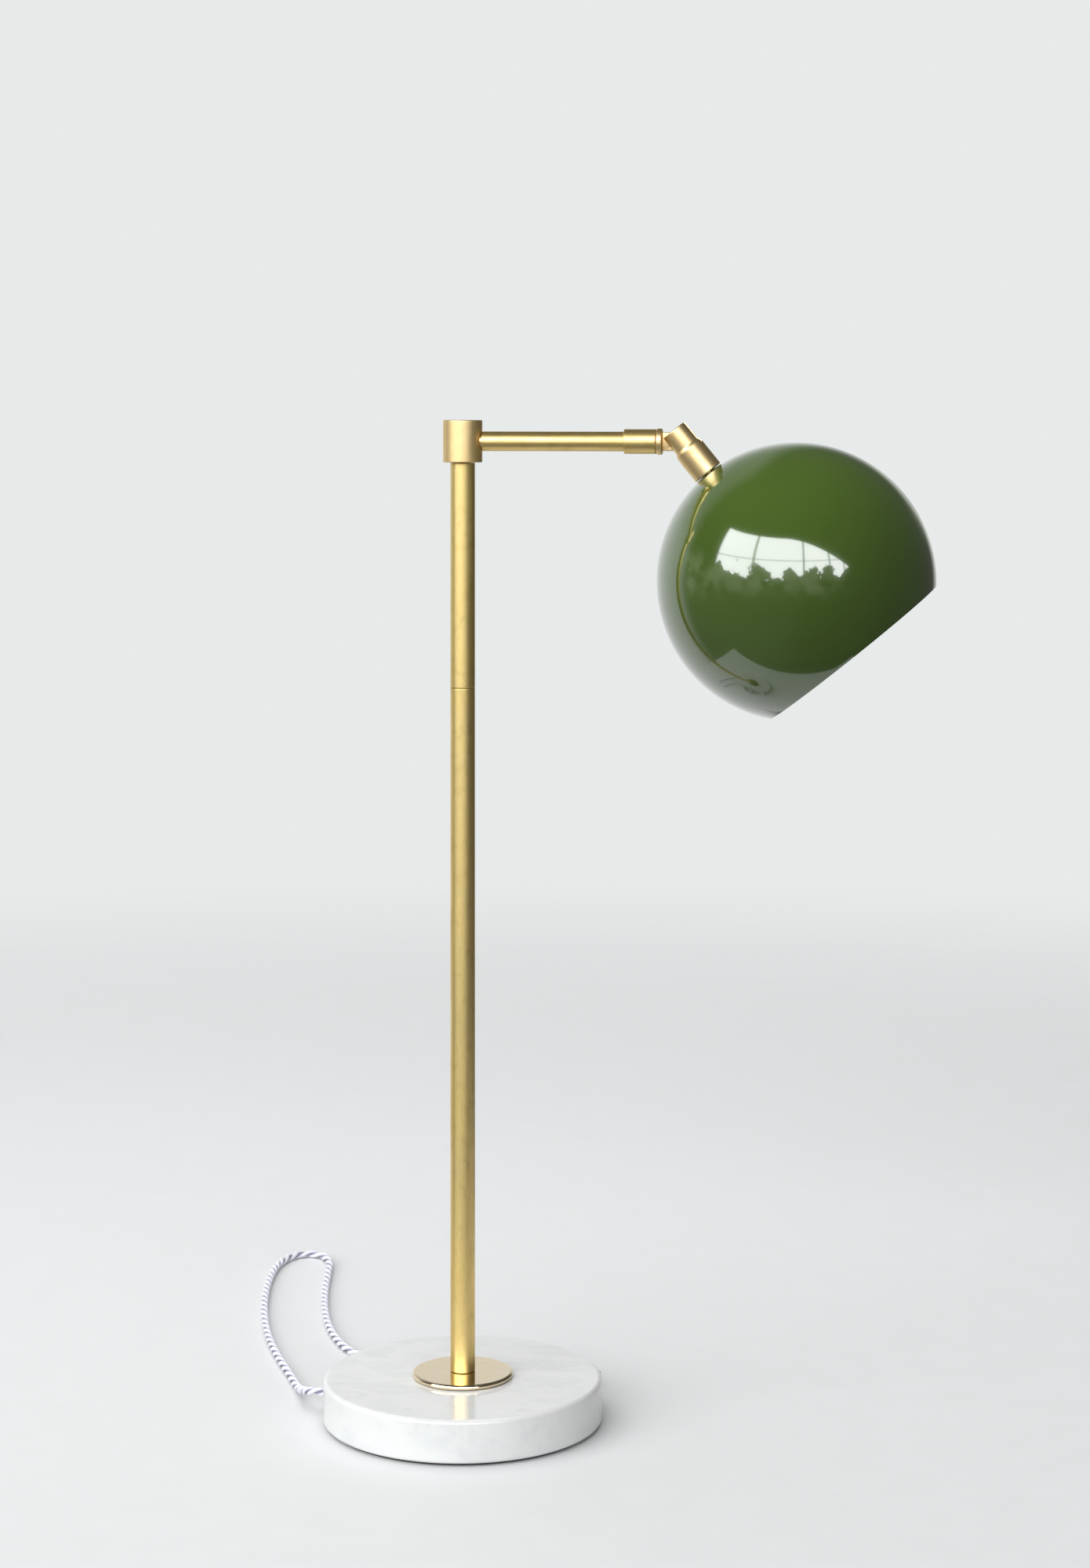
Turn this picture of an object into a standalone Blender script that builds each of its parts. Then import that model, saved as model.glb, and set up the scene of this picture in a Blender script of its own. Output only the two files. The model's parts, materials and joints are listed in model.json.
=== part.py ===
"""Adjustable arm table lamp.

A round marble base carries a two-piece brass stem. A short brass arm swivels on
top of the stem, and a knuckle at its end rolls about the arm and tilts a globe
shade with an open, sliced-off bottom. Metres, +Z up, origin at the centre of the
base's underside, the arm along +X.
"""
import math

import bmesh
import bpy
from mathutils import Vector

# ---- Driving dimensions -------------------------------------------------------
GAP = 0.0003                    # clearance between neighbouring solids
FINE_CHAMFER = 0.0003

PAD_RADIUS = 0.0865
PAD_THICKNESS = 0.0015
BASE_RADIUS = 0.0900
BASE_TOP = 0.0289
BASE_EDGE_ROUND = 0.0030
RECESS_RADIUS = 0.0230          # underside recess for the nut and the wire
RECESS_TOP = 0.0200
CORD_HOLE_HEIGHT = 0.0145
CORD_HOLE_RADIUS = 0.0045
GROMMET_BORE = 0.0031
GROMMET_LENGTH = 0.0135
FLANGE_RADIUS = 0.0325
FLANGE_THICKNESS = 0.0032

NIPPLE_RADIUS = 0.00485         # 3/8 inch threaded lamp pipe
NIPPLE_BORE = 0.0030
CLEAR_HOLE = 0.0052             # a hole that the lamp pipe passes through
STEM_RADIUS = 0.00795
STEM_BORE = 0.00695
STEM_SEAM = 0.4738
STEM_TOP = 0.6192
PLUG_RADIUS = 0.0066            # bushings inside the stem
WIRE_RADIUS = 0.0018            # the insulated wire inside the stem, the arm and the fork

COLLAR_RADIUS = 0.0127
COLLAR_HEIGHT = 0.0272
COLLAR_FLOOR = 0.0041
COLLAR_CAVITY = 0.0090
CAP_SEAT_RADIUS = 0.0112
CAP_RECESS = 0.0030
ARM_HEIGHT = 0.6332
ARM_RADIUS = 0.00635
SLEEVE_START = 0.1051
SLEEVE_END = 0.1258
SLEEVE_WALL = 0.0078            # thickness of the sleeve's end, which the tongue's spigot turns in
RING_RADIUS = 0.0084
RING_END = 0.1296
PIVOT_X = 0.1430
TONGUE_RADIUS = 0.0061          # half the height of the flat tongue
TONGUE_HALF_WIDTH = 0.0021
SLOT_HALF_WIDTH = 0.0032
SCREW_HOLE = 0.0022
ROUND_NUT_RADIUS = 0.0063

# Along the shade's axis, heights are counted from the centre of its sphere.
SHADE_TILT = 39.0               # degrees from upright, opening away from the stem
SHADE_RADIUS = 0.0889
SHADE_WALL = 0.0010
SHADE_RIM = -0.0575
PIVOT_HEIGHT = 0.1146
FORK_TOP = 0.1240
FORK_STEP = 0.1103
FORK_BOTTOM = 0.0892
SLOT_FLOOR = 0.1074
FORK_RADIUS = 0.00885
BARREL_RADIUS = 0.0100
SOCKET_RADIUS = 0.0165
SOCKET_TOP = 0.0800
SOCKET_SPLIT = 0.0621
SOCKET_MOUTH = 0.0280
SWITCH_HEIGHT = 0.0540
BULB_RADIUS = 0.0240
BULB_TIP = -0.0448

CORD_RADIUS = 0.0028
CORD_POINT_SPACING = 0.0135
COIL_CENTRE = (-0.0170, 0.1257)
COIL_TURNS = (0.0164, 0.0332)   # radius of the innermost and outermost turn
COIL_TOP_TURN = 0.0192          # radius of the one turn that lies on the others
COIL_FLOOR = 0.0009
NEST = 0.0007                   # how far a turn sinks between the two that it lies on
TIE_WIDTH = 0.0050
TIE_SKIN = 0.0005
TIE_ANGLE = 187.7               # degrees around the coil from +X
PLUG_REAR = (0.0372, 0.0979)
PLUG_HEADING = -29.2            # degrees from +X
PLUG_SIZE = (0.0280, 0.0240, 0.0138)

# The cord's way from the base to its coil, and from the coil to its plug.
LEAD_ROUTE = [
    (-0.0903, 0.0000, 0.0145),
    (-0.0966, 0.0014, 0.0142),
    (-0.1028, 0.0068, 0.0126),
    (-0.1080, 0.0167, 0.0096),
    (-0.1123, 0.0282, 0.0062),
    (-0.1178, 0.0426, 0.0036),
    (-0.1245, 0.0588, 0.0030),
    (-0.1340, 0.0808, 0.0030),
    (-0.1458, 0.1084, 0.0030),
    (-0.1591, 0.1430, 0.0030),
    (-0.1717, 0.1837, 0.0030),
    (-0.1817, 0.2247, 0.0030),
    (-0.1895, 0.2670, 0.0030),
    (-0.1946, 0.3087, 0.0030),
    (-0.1947, 0.3390, 0.0030),
    (-0.1883, 0.3590, 0.0030),
    (-0.1776, 0.3655, 0.0030),
    (-0.1657, 0.3595, 0.0030),
    (-0.1577, 0.3419, 0.0030),
    (-0.1530, 0.3143, 0.0030),
    (-0.1479, 0.2807, 0.0030),
    (-0.1419, 0.2472, 0.0030),
    (-0.1344, 0.2139, 0.0030),
    (-0.1249, 0.1809, 0.0030),
    (-0.1126, 0.1503, 0.0030),
    (-0.0976, 0.1250, 0.0031),
    (-0.0788, 0.1085, 0.0033),
    (-0.0560, 0.1005, 0.0034),
]
TAIL_ROUTE = [
    (0.0026, 0.1092, 0.0097),
    (0.0108, 0.1106, 0.0100),
    (0.0189, 0.1105, 0.0090),
    (0.0248, 0.1079, 0.0058),
    (0.0289, 0.1042, 0.0043),
    (0.0323, 0.1011, 0.0054),
    (0.0359, 0.0986, 0.0070),
]

# Sides of a turned piece.
FINE = 40
MEDIUM = 24
SMALL = 16

PARTS = "adjustable_arm_lamp"
CUTTERS = "cutters"
MERGE = 0.00001


# ---- Scene and materials ------------------------------------------------------
def clear_scene():
    for obj in list(bpy.data.objects):
        bpy.data.objects.remove(obj, do_unlink=True)


def collection(name):
    found = bpy.data.collections.get(name) or bpy.data.collections.new(name)
    if name not in bpy.context.scene.collection.children:
        bpy.context.scene.collection.children.link(found)
    return found


# name: colour, roughness, metallic
FINISHES = {
    "raw_brass": ((0.60, 0.43, 0.16), 0.28, 1.0),
    "satin_brass": ((0.74, 0.54, 0.24), 0.30, 1.0),
    "polished_brass": ((0.86, 0.74, 0.52), 0.10, 1.0),
    "zinc_steel": ((0.55, 0.56, 0.58), 0.35, 1.0),
    "marble": ((0.80, 0.80, 0.78), 0.15, 0.0),
    "black_felt": ((0.02, 0.02, 0.02), 0.95, 0.0),
    "green_enamel": ((0.07, 0.14, 0.02), 0.12, 0.0),
    "phenolic": ((0.03, 0.03, 0.03), 0.35, 0.0),
    "fibre_liner": ((0.45, 0.34, 0.20), 0.80, 0.0),
    "frosted_glass": ((0.90, 0.90, 0.88), 0.35, 0.0),
    "nylon": ((0.85, 0.85, 0.82), 0.45, 0.0),
    "cloth_cord": ((0.78, 0.78, 0.86), 0.85, 0.0),
    "white_plastic": ((0.82, 0.82, 0.84), 0.40, 0.0),
}


def finish(name):
    found = bpy.data.materials.get(name)
    if found:
        return found
    colour, roughness, metallic = FINISHES[name]
    made = bpy.data.materials.new(name)
    made.use_nodes = True
    shader = made.node_tree.nodes["Principled BSDF"]
    shader.inputs["Base Color"].default_value = (*colour, 1.0)
    shader.inputs["Roughness"].default_value = roughness
    shader.inputs["Metallic"].default_value = metallic
    return made


# ---- Objects, pivots and cutters ----------------------------------------------
def place(name, data, look, parent=None, location=(0, 0, 0), rotation=(0, 0, 0)):
    """A named sub-part, or a cutter if it has no look."""
    obj = bpy.data.objects.new(name, data)
    obj.parent = parent
    obj.location = location
    obj.rotation_euler = rotation
    collection(PARTS if look else CUTTERS).objects.link(obj)
    if look:
        obj.data.materials.append(finish(look))
    else:
        obj.hide_render = True
        obj.display_type = "WIRE"
    return obj


def pivot(name, location, rotation=(0, 0, 0), parent=None):
    obj = bpy.data.objects.new(name, None)
    obj.location = location
    obj.rotation_euler = rotation
    obj.parent = parent
    collection(PARTS).objects.link(obj)
    return obj


def cut(target, cutter):
    """Take the cutter's shape out of the target."""
    step = target.modifiers.new(cutter.name, "BOOLEAN")
    step.operation = "DIFFERENCE"
    step.solver = "EXACT"
    step.object = cutter


def turned(name, profile, look, steps=MEDIUM, **where):
    """Turn (radius, height) points about local Z. The points start at the top and
    run down the outer side; a profile that touches the axis is open, any other
    is a loop."""
    mesh = bpy.data.meshes.new(name)
    points = [(radius, 0.0, height) for radius, height in profile]
    edges = [(i, i + 1) for i in range(len(points) - 1)]
    if min(radius for radius, _ in profile) > 0:
        edges.append((len(points) - 1, 0))
    mesh.from_pydata(points, edges, [])
    obj = place(name, mesh, look, **where)
    screw = obj.modifiers.new("turn", "SCREW")
    screw.steps = steps
    screw.render_steps = steps
    screw.use_merge_vertices = True
    screw.merge_threshold = MERGE
    screw.use_smooth_shade = True
    return obj


def arc(centre, radius, start, end, count):
    """Points on an arc in the (radius, height) plane, angles in degrees."""
    points = []
    for i in range(count + 1):
        angle = math.radians(start + (end - start) * i / count)
        points.append((centre[0] + radius * math.cos(angle), centre[1] + radius * math.sin(angle)))
    return points


def ring(outer, inner, low, high, chamfer=0.0):
    """Profile of a washer, a tube or, with no inner radius, a disc."""
    if not chamfer:
        return [(inner, high), (outer, high), (outer, low), (inner, low)]
    return [
        (inner, high),
        (outer - chamfer, high),
        (outer, high - chamfer),
        (outer, low + chamfer),
        (outer - chamfer, low),
        (inner, low),
    ]


def box(name, size, centre, look, parent=None, location=(0, 0, 0), rotation=(0, 0, 0)):
    bm = bmesh.new()
    bmesh.ops.create_cube(bm, size=1.0)
    bmesh.ops.scale(bm, vec=size, verts=bm.verts)
    bmesh.ops.translate(bm, vec=centre, verts=bm.verts)
    mesh = bpy.data.meshes.new(name)
    bm.to_mesh(mesh)
    bm.free()
    return place(name, mesh, look, parent, location, rotation)


def hexagon(name, across_flats, low, high, look, parent=None, location=(0, 0, 0), rotation=(0, 0, 0)):
    """A six-sided prism about local Z."""
    bm = bmesh.new()
    corner = across_flats / math.sqrt(3)
    bmesh.ops.create_cone(
        bm, cap_ends=True, segments=6, radius1=corner, radius2=corner, depth=high - low
    )
    bmesh.ops.translate(bm, vec=(0, 0, (low + high) / 2), verts=bm.verts)
    mesh = bpy.data.meshes.new(name)
    bm.to_mesh(mesh)
    bm.free()
    return place(name, mesh, look, parent, location, rotation)


def hex_nut(name, across_flats, low, high, **where):
    nut = hexagon(name, across_flats, low, high, "zinc_steel", **where)
    hole = turned(
        name + "_hole", ring(CLEAR_HOLE, 0, low - 0.001, high + 0.001), None, SMALL, **where
    )
    cut(nut, hole)
    return nut


def smooth_path(route, spacing):
    """Points about spacing apart on a smooth curve through the route's points."""
    route = [Vector(point) for point in route]
    ends = [2 * route[0] - route[1]] + route + [2 * route[-1] - route[-2]]
    path = []
    for i in range(1, len(ends) - 2):
        before, here, there, after = ends[i - 1:i + 3]
        pieces = max(1, round((there - here).length / spacing))
        for k in range(pieces):
            t = k / pieces
            path.append(
                0.5 * (
                    2 * here
                    + (there - before) * t
                    + (2 * before - 5 * here + 4 * there - after) * t * t
                    + (3 * here - before - 3 * there + after) * t * t * t
                )
            )
    path.append(route[-1])
    return path


def tube(name, route, radius, look, spacing, parent=None):
    """A round wire or cord along a smooth route, closed at both ends."""
    curve = bpy.data.curves.new(name, "CURVE")
    curve.dimensions = "3D"
    curve.bevel_depth = radius
    curve.bevel_resolution = 2
    curve.use_fill_caps = True
    path = smooth_path(route, spacing)
    spline = curve.splines.new("POLY")
    spline.points.add(len(path) - 1)
    for point, position in zip(spline.points, path):
        point.co = (*position, 1.0)
    spline.use_smooth = True
    return place(name, curve, look, parent)


# ---- Base ---------------------------------------------------------------------
def build_base():
    bottom = PAD_THICKNESS + GAP
    turned("base_pad", ring(PAD_RADIUS, 0, 0, PAD_THICKNESS), "black_felt", FINE)

    edge = BASE_RADIUS - BASE_EDGE_ROUND
    marble = turned(
        "marble_base",
        [(CLEAR_HOLE, BASE_TOP)]
        + arc((edge, BASE_TOP - BASE_EDGE_ROUND), BASE_EDGE_ROUND, 90, 0, 3)
        + arc((edge, bottom + BASE_EDGE_ROUND), BASE_EDGE_ROUND, 0, -90, 3)
        + [(RECESS_RADIUS, bottom), (RECESS_RADIUS, RECESS_TOP), (CLEAR_HOLE, RECESS_TOP)],
        "marble",
        FINE,
    )
    along_x = (0, math.radians(90), 0)
    overshoot = 0.0050
    side_hole = turned(
        "cord_hole",
        ring(CORD_HOLE_RADIUS, 0, -BASE_RADIUS - overshoot, -RECESS_RADIUS + overshoot),
        None,
        SMALL,
        location=(0, 0, CORD_HOLE_HEIGHT),
        rotation=along_x,
    )
    cut(marble, side_hole)
    inset = 0.0005
    turned(
        "cord_grommet",
        ring(CORD_HOLE_RADIUS - GAP, GROMMET_BORE, inset - BASE_RADIUS,
             inset + GROMMET_LENGTH - BASE_RADIUS, FINE_CHAMFER),
        "phenolic",
        SMALL,
        location=(0, 0, CORD_HOLE_HEIGHT),
        rotation=along_x,
    )

    flange_low = BASE_TOP + GAP
    half = FLANGE_THICKNESS / 2
    turned(
        "base_flange",
        [(CLEAR_HOLE, flange_low + FLANGE_THICKNESS)]
        + arc((FLANGE_RADIUS - half, flange_low + half), half, 90, -90, 4)
        + [(CLEAR_HOLE, flange_low)],
        "polished_brass",
        FINE,
    )


def build_base_fasteners():
    """Stacked under the recess: washer, split washer and nut on a threaded pipe."""
    washer_top = RECESS_TOP - GAP
    washer_low = washer_top - 0.0015
    turned("base_washer", ring(0.0190, CLEAR_HOLE, washer_low, washer_top), "zinc_steel", SMALL)
    spring_top = washer_low - GAP
    spring_low = spring_top - 0.0015
    spring_radius = 0.0090
    spring = turned(
        "base_lock_washer", ring(spring_radius, CLEAR_HOLE, spring_low, spring_top), "zinc_steel", SMALL
    )
    split = 0.0012
    cut(spring, box("lock_washer_split", (spring_radius, split, 0.0040),
                    (spring_radius - split, 0, (spring_low + spring_top) / 2), None))
    nut_top = spring_low - GAP
    nut_low = nut_top - 0.0050
    hex_nut("base_nut", 0.0160, nut_low, nut_top)
    turned("base_nipple", ring(NIPPLE_RADIUS, 0.0035, nut_low - 0.0018, 0.0520), "raw_brass", SMALL)


# ---- Stem ---------------------------------------------------------------------
def build_stem():
    stem_bottom = BASE_TOP + FLANGE_THICKNESS + 2 * GAP
    eased = 0.0002
    turned(
        "stem_lower",
        ring(STEM_RADIUS, STEM_BORE, stem_bottom, STEM_SEAM - GAP / 2, eased),
        "raw_brass",
    )
    turned(
        "stem_upper",
        ring(STEM_RADIUS, STEM_BORE, STEM_SEAM + GAP / 2, STEM_TOP, eased),
        "raw_brass",
    )
    bushing_low = stem_bottom + 0.0033
    turned("stem_bottom_bushing", ring(PLUG_RADIUS, CLEAR_HOLE, bushing_low, bushing_low + 0.0140),
           "raw_brass", SMALL)
    half_coupling = 0.0340
    turned(
        "stem_coupling",
        ring(PLUG_RADIUS, 0.0050, STEM_SEAM - half_coupling, STEM_SEAM + half_coupling),
        "raw_brass",
        SMALL,
    )
    turned(
        "stem_top_bushing",
        ring(PLUG_RADIUS, CLEAR_HOLE, STEM_TOP - 0.0190, STEM_TOP - GAP),
        "raw_brass",
        SMALL,
    )
    stud_top = STEM_TOP + 0.0100
    turned("swivel_stud", ring(NIPPLE_RADIUS, NIPPLE_BORE, STEM_TOP - 0.0150, stud_top), "raw_brass", SMALL)
    washer_low = ARM_HEIGHT - COLLAR_HEIGHT / 2 + COLLAR_FLOOR + GAP
    washer_top = washer_low + 0.0008
    turned("swivel_washer", ring(0.0080, CLEAR_HOLE, washer_low, washer_top), "nylon", SMALL)
    nut_low = washer_top + GAP
    hex_nut("swivel_nut", 0.0140, nut_low, nut_low + 0.0034)
    tube(
        "stem_wire",
        [
            (-BASE_RADIUS + 0.0008, 0, CORD_HOLE_HEIGHT),
            (-0.0600, 0, CORD_HOLE_HEIGHT),
            (-0.0280, 0, CORD_HOLE_HEIGHT),
            (-0.0180, 0, 0.0122),
            (-0.0125, 0, 0.0084),
            (-0.0080, 0, 0.0056),
            (-0.0036, 0, 0.0044),
            (-0.0008, 0, 0.0062),
            (0, 0, 0.0110),
            (0, 0, RECESS_TOP),
            (0, 0, 0.3200),
            (0, 0, stud_top - 0.0002),
        ],
        WIRE_RADIUS,
        "white_plastic",
        0.1500,
    )


# ---- Arm ----------------------------------------------------------------------
def build_arm():
    """The collar and all that is fixed to it. Pieces along the arm are turned
    about arm_line, whose local Z runs along world +X."""
    swivel = pivot("arm_swivel_axis", (0, 0, ARM_HEIGHT))
    arm_line = pivot("arm_line", (0, 0, 0), (0, math.radians(90), 0), swivel)

    low = -COLLAR_HEIGHT / 2
    high = COLLAR_HEIGHT / 2
    lip = high - CAP_RECESS
    chamfer = 0.0004
    collar = turned(
        "swivel_collar",
        [
            (CAP_SEAT_RADIUS, high),
            (COLLAR_RADIUS - chamfer, high),
            (COLLAR_RADIUS, high - chamfer),
            (COLLAR_RADIUS, low + chamfer),
            (COLLAR_RADIUS - chamfer, low),
            (CLEAR_HOLE, low),
            (CLEAR_HOLE, low + COLLAR_FLOOR),
            (COLLAR_CAVITY, low + COLLAR_FLOOR),
            (COLLAR_CAVITY, lip),
            (CAP_SEAT_RADIUS, lip),
        ],
        "satin_brass",
        MEDIUM,
        parent=swivel,
    )
    reach = 0.0030
    arm_hole = turned("arm_hole", ring(CLEAR_HOLE, 0, COLLAR_CAVITY - reach, COLLAR_RADIUS + reach),
                      None, SMALL, parent=arm_line)
    cut(collar, arm_hole)
    turned(
        "collar_cap",
        ring(CAP_SEAT_RADIUS - GAP, 0, lip + GAP, high, 0.0002),
        "satin_brass",
        MEDIUM,
        parent=swivel,
    )
    turned(
        "arm_nipple",
        ring(NIPPLE_RADIUS, NIPPLE_BORE, COLLAR_CAVITY + 0.0004, 0.0300),
        "raw_brass",
        SMALL,
        parent=arm_line,
    )
    turned(
        "arm_tube",
        ring(ARM_RADIUS, CLEAR_HOLE, COLLAR_RADIUS + GAP, SLEEVE_START + 0.0060),
        "raw_brass",
        MEDIUM,
        parent=arm_line,
    )
    shoulder = SLEEVE_END - SLEEVE_WALL
    turned(
        "knuckle_sleeve",
        [
            (CLEAR_HOLE, SLEEVE_END),
            (STEM_RADIUS - FINE_CHAMFER, SLEEVE_END),
            (STEM_RADIUS, SLEEVE_END - FINE_CHAMFER),
            (STEM_RADIUS, SLEEVE_START + FINE_CHAMFER),
            (STEM_RADIUS - FINE_CHAMFER, SLEEVE_START),
            (ARM_RADIUS + GAP, SLEEVE_START),
            (ARM_RADIUS + GAP, shoulder),
            (CLEAR_HOLE, shoulder),
        ],
        "raw_brass",
        MEDIUM,
        parent=arm_line,
    )
    tube(
        "arm_wire",
        [
            (0, 0, ARM_HEIGHT - 0.0037),
            (0.0004, 0, ARM_HEIGHT - 0.0022),
            (0.0016, 0, ARM_HEIGHT - 0.0007),
            (0.0036, 0, ARM_HEIGHT - 0.0001),
            (0.0070, 0, ARM_HEIGHT),
            (0.0500, 0, ARM_HEIGHT),
            (RING_END - 0.0016, 0, ARM_HEIGHT),
        ],
        WIRE_RADIUS,
        "white_plastic",
        0.0600,
    )
    return arm_line


# ---- Knuckle ------------------------------------------------------------------
def build_knuckle(arm_line):
    """The tongue that rolls in the sleeve. Its profile heights are world X."""
    turned(
        "knuckle_ring",
        ring(RING_RADIUS, CLEAR_HOLE, SLEEVE_END + GAP, RING_END, 0.0004),
        "satin_brass",
        MEDIUM,
        parent=arm_line,
    )
    shoulder = RING_END + GAP
    spigot_end = SLEEVE_END - 0.0140
    wire_bore = 0.0026
    bore_end = RING_END - 0.0006
    tongue = turned(
        "knuckle_tongue",
        arc((0, PIVOT_X), TONGUE_RADIUS, 90, 0, 5)
        + [
            (TONGUE_RADIUS, shoulder),
            (NIPPLE_RADIUS, shoulder),
            (NIPPLE_RADIUS, spigot_end),
            (wire_bore, spigot_end),
            (wire_bore, bore_end),
            (0, bore_end),
        ],
        "satin_brass",
        MEDIUM,
        parent=arm_line,
    )
    slab = 0.0060
    slab_length = 0.0220
    for side, name in ((-1, "tongue_flat_front"), (1, "tongue_flat_rear")):
        flat = box(
            name,
            (0.0200, slab, slab_length),
            (0, side * (TONGUE_HALF_WIDTH + slab / 2), shoulder + slab_length / 2),
            None,
            arm_line,
        )
        cut(tongue, flat)
    cross = (math.radians(-90), 0, 0)
    at_pivot = (0, 0, PIVOT_X)
    cut(
        tongue,
        turned("tongue_hole", ring(SCREW_HOLE, 0, -FORK_RADIUS, FORK_RADIUS), None, SMALL,
               parent=arm_line, location=at_pivot, rotation=cross),
    )
    for side, name in ((-1, "knuckle_washer_front"), (1, "knuckle_washer_rear")):
        near = side * (TONGUE_HALF_WIDTH + GAP)
        far = side * (SLOT_HALF_WIDTH - GAP)
        turned(name, ring(0.0050, SCREW_HOLE, min(near, far), max(near, far)), "nylon", SMALL,
               parent=arm_line, location=at_pivot, rotation=cross)
    washer_end = SLEEVE_END - SLEEVE_WALL - GAP
    washer_start = washer_end - 0.0014
    turned("spigot_washer", ring(ROUND_NUT_RADIUS, CLEAR_HOLE, washer_start, washer_end), "nylon", SMALL,
           parent=arm_line)
    nut_end = washer_start - GAP
    turned("spigot_nut", ring(ROUND_NUT_RADIUS, CLEAR_HOLE, nut_end - 0.0030, nut_end), "zinc_steel",
           SMALL, parent=arm_line)


# ---- Shade --------------------------------------------------------------------
def build_shade(axis, middle):
    """Pieces about the shade's axis: axis is the empty on the tilt pivot, and
    middle is the place of the sphere's centre in it."""
    fork = turned(
        "knuckle_fork",
        [
            (NIPPLE_BORE, FORK_TOP),
            (FORK_RADIUS - 0.0005, FORK_TOP),
            (FORK_RADIUS, FORK_TOP - 0.0005),
            (FORK_RADIUS, FORK_STEP + 0.0004),
            (BARREL_RADIUS, FORK_STEP - 0.0007),
            (BARREL_RADIUS, FORK_BOTTOM),
            (CLEAR_HOLE, FORK_BOTTOM),
            (CLEAR_HOLE, 0.1010),
            (NIPPLE_BORE, 0.1010),
        ],
        "satin_brass",
        MEDIUM,
        parent=axis,
        location=middle,
    )
    slot_top = FORK_TOP + 0.0040
    slot = box(
        "fork_slot",
        (0.0300, 2 * SLOT_HALF_WIDTH, slot_top - SLOT_FLOOR),
        (0, 0, (slot_top + SLOT_FLOOR) / 2),
        None,
        axis,
        middle,
    )
    cut(fork, slot)
    cross = (math.radians(-90), 0, 0)
    cut(
        fork,
        turned(
            "fork_screw_hole",
            [(0, 0.0120), (0.0036, 0.0120), (0.0036, 0.0058), (SCREW_HOLE, 0.0058),
             (SCREW_HOLE, -0.0070), (0, -0.0070)],
            None,
            SMALL,
            parent=axis,
            rotation=cross,
        ),
    )
    screw = turned(
        "pivot_screw",
        [(0, 0.0083), (0.0033, 0.0083), (0.0033, 0.0061), (0.0019, 0.0061),
         (0.0019, -0.0067), (0, -0.0067)],
        "zinc_steel",
        SMALL,
        parent=axis,
        rotation=cross,
    )
    cut(screw, hexagon("screw_socket", 0.0025, 0.0069, 0.0100, None, axis, (0, 0, 0), cross))

    turned("shade_nipple", ring(NIPPLE_RADIUS, NIPPLE_BORE, 0.0740, 0.1000), "raw_brass", SMALL,
           parent=axis, location=middle)
    outer_start = math.degrees(math.acos(CLEAR_HOLE / SHADE_RADIUS))
    outer_end = math.degrees(math.asin(SHADE_RIM / SHADE_RADIUS))
    inner_radius = SHADE_RADIUS - SHADE_WALL
    inner_start = math.degrees(math.acos(CLEAR_HOLE / inner_radius))
    inner_end = math.degrees(math.asin(SHADE_RIM / inner_radius))
    turned(
        "shade",
        arc((0, 0), SHADE_RADIUS, outer_start, outer_end, 13)
        + arc((0, 0), inner_radius, inner_end, inner_start, 13),
        "green_enamel",
        FINE,
        parent=axis,
        location=middle,
    )
    turned("shade_washer", ring(0.0120, CLEAR_HOLE, 0.0853, 0.0865), "zinc_steel", SMALL,
           parent=axis, location=middle)
    hex_nut("shade_nut", 0.0160, 0.0817, 0.0850, parent=axis, location=middle)


def build_socket(axis, middle):
    wall = 0.0010
    turned(
        "socket_cap",
        [(CLEAR_HOLE, SOCKET_TOP), (0.0085, SOCKET_TOP), (0.0112, 0.0778), (0.0152, 0.0730),
         (SOCKET_RADIUS, 0.0690), (SOCKET_RADIUS, SOCKET_SPLIT), (SOCKET_RADIUS - wall, SOCKET_SPLIT),
         (SOCKET_RADIUS - wall, 0.0688), (0.0144, 0.0721), (0.0106, 0.0766), (0.0083, 0.0782),
         (CLEAR_HOLE, 0.0782)],
        "satin_brass",
        MEDIUM,
        parent=axis,
        location=middle,
    )
    cross = (math.radians(-90), 0, 0)
    at_switch = middle + Vector((0, 0, SWITCH_HEIGHT))
    shell = turned(
        "socket_shell",
        ring(SOCKET_RADIUS, SOCKET_RADIUS - wall, SOCKET_MOUTH, SOCKET_SPLIT - GAP),
        "satin_brass",
        MEDIUM,
        parent=axis,
        location=middle,
    )
    body = turned("socket_body", ring(0.0150, 0, 0.0465, 0.0612), "phenolic", MEDIUM,
                  parent=axis, location=middle)
    shaft_hole = turned("shaft_hole", ring(0.0022, 0, -0.0200, -0.0060), None, SMALL,
                        parent=axis, location=at_switch, rotation=cross)
    cut(shell, shaft_hole)
    cut(body, shaft_hole)
    turned("socket_liner", ring(0.0150, 0.0143, SOCKET_MOUTH + 0.0005, 0.0462), "fibre_liner", MEDIUM,
           parent=axis, location=middle)
    turned("screw_shell", ring(0.0139, 0.0134, 0.0300, 0.0462), "polished_brass", MEDIUM,
           parent=axis, location=middle)
    turned("center_contact", ring(0.0035, 0, 0.0445, 0.0462), "polished_brass", SMALL,
           parent=axis, location=middle)
    tube_parent = pivot("socket_wire_line", middle, (0, 0, 0), axis)
    tube("socket_wire", [(0, 0, 0.1068), (0, 0, 0.0840), (0, 0, 0.0615)], WIRE_RADIUS, "white_plastic",
         0.0300, tube_parent)


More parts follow.
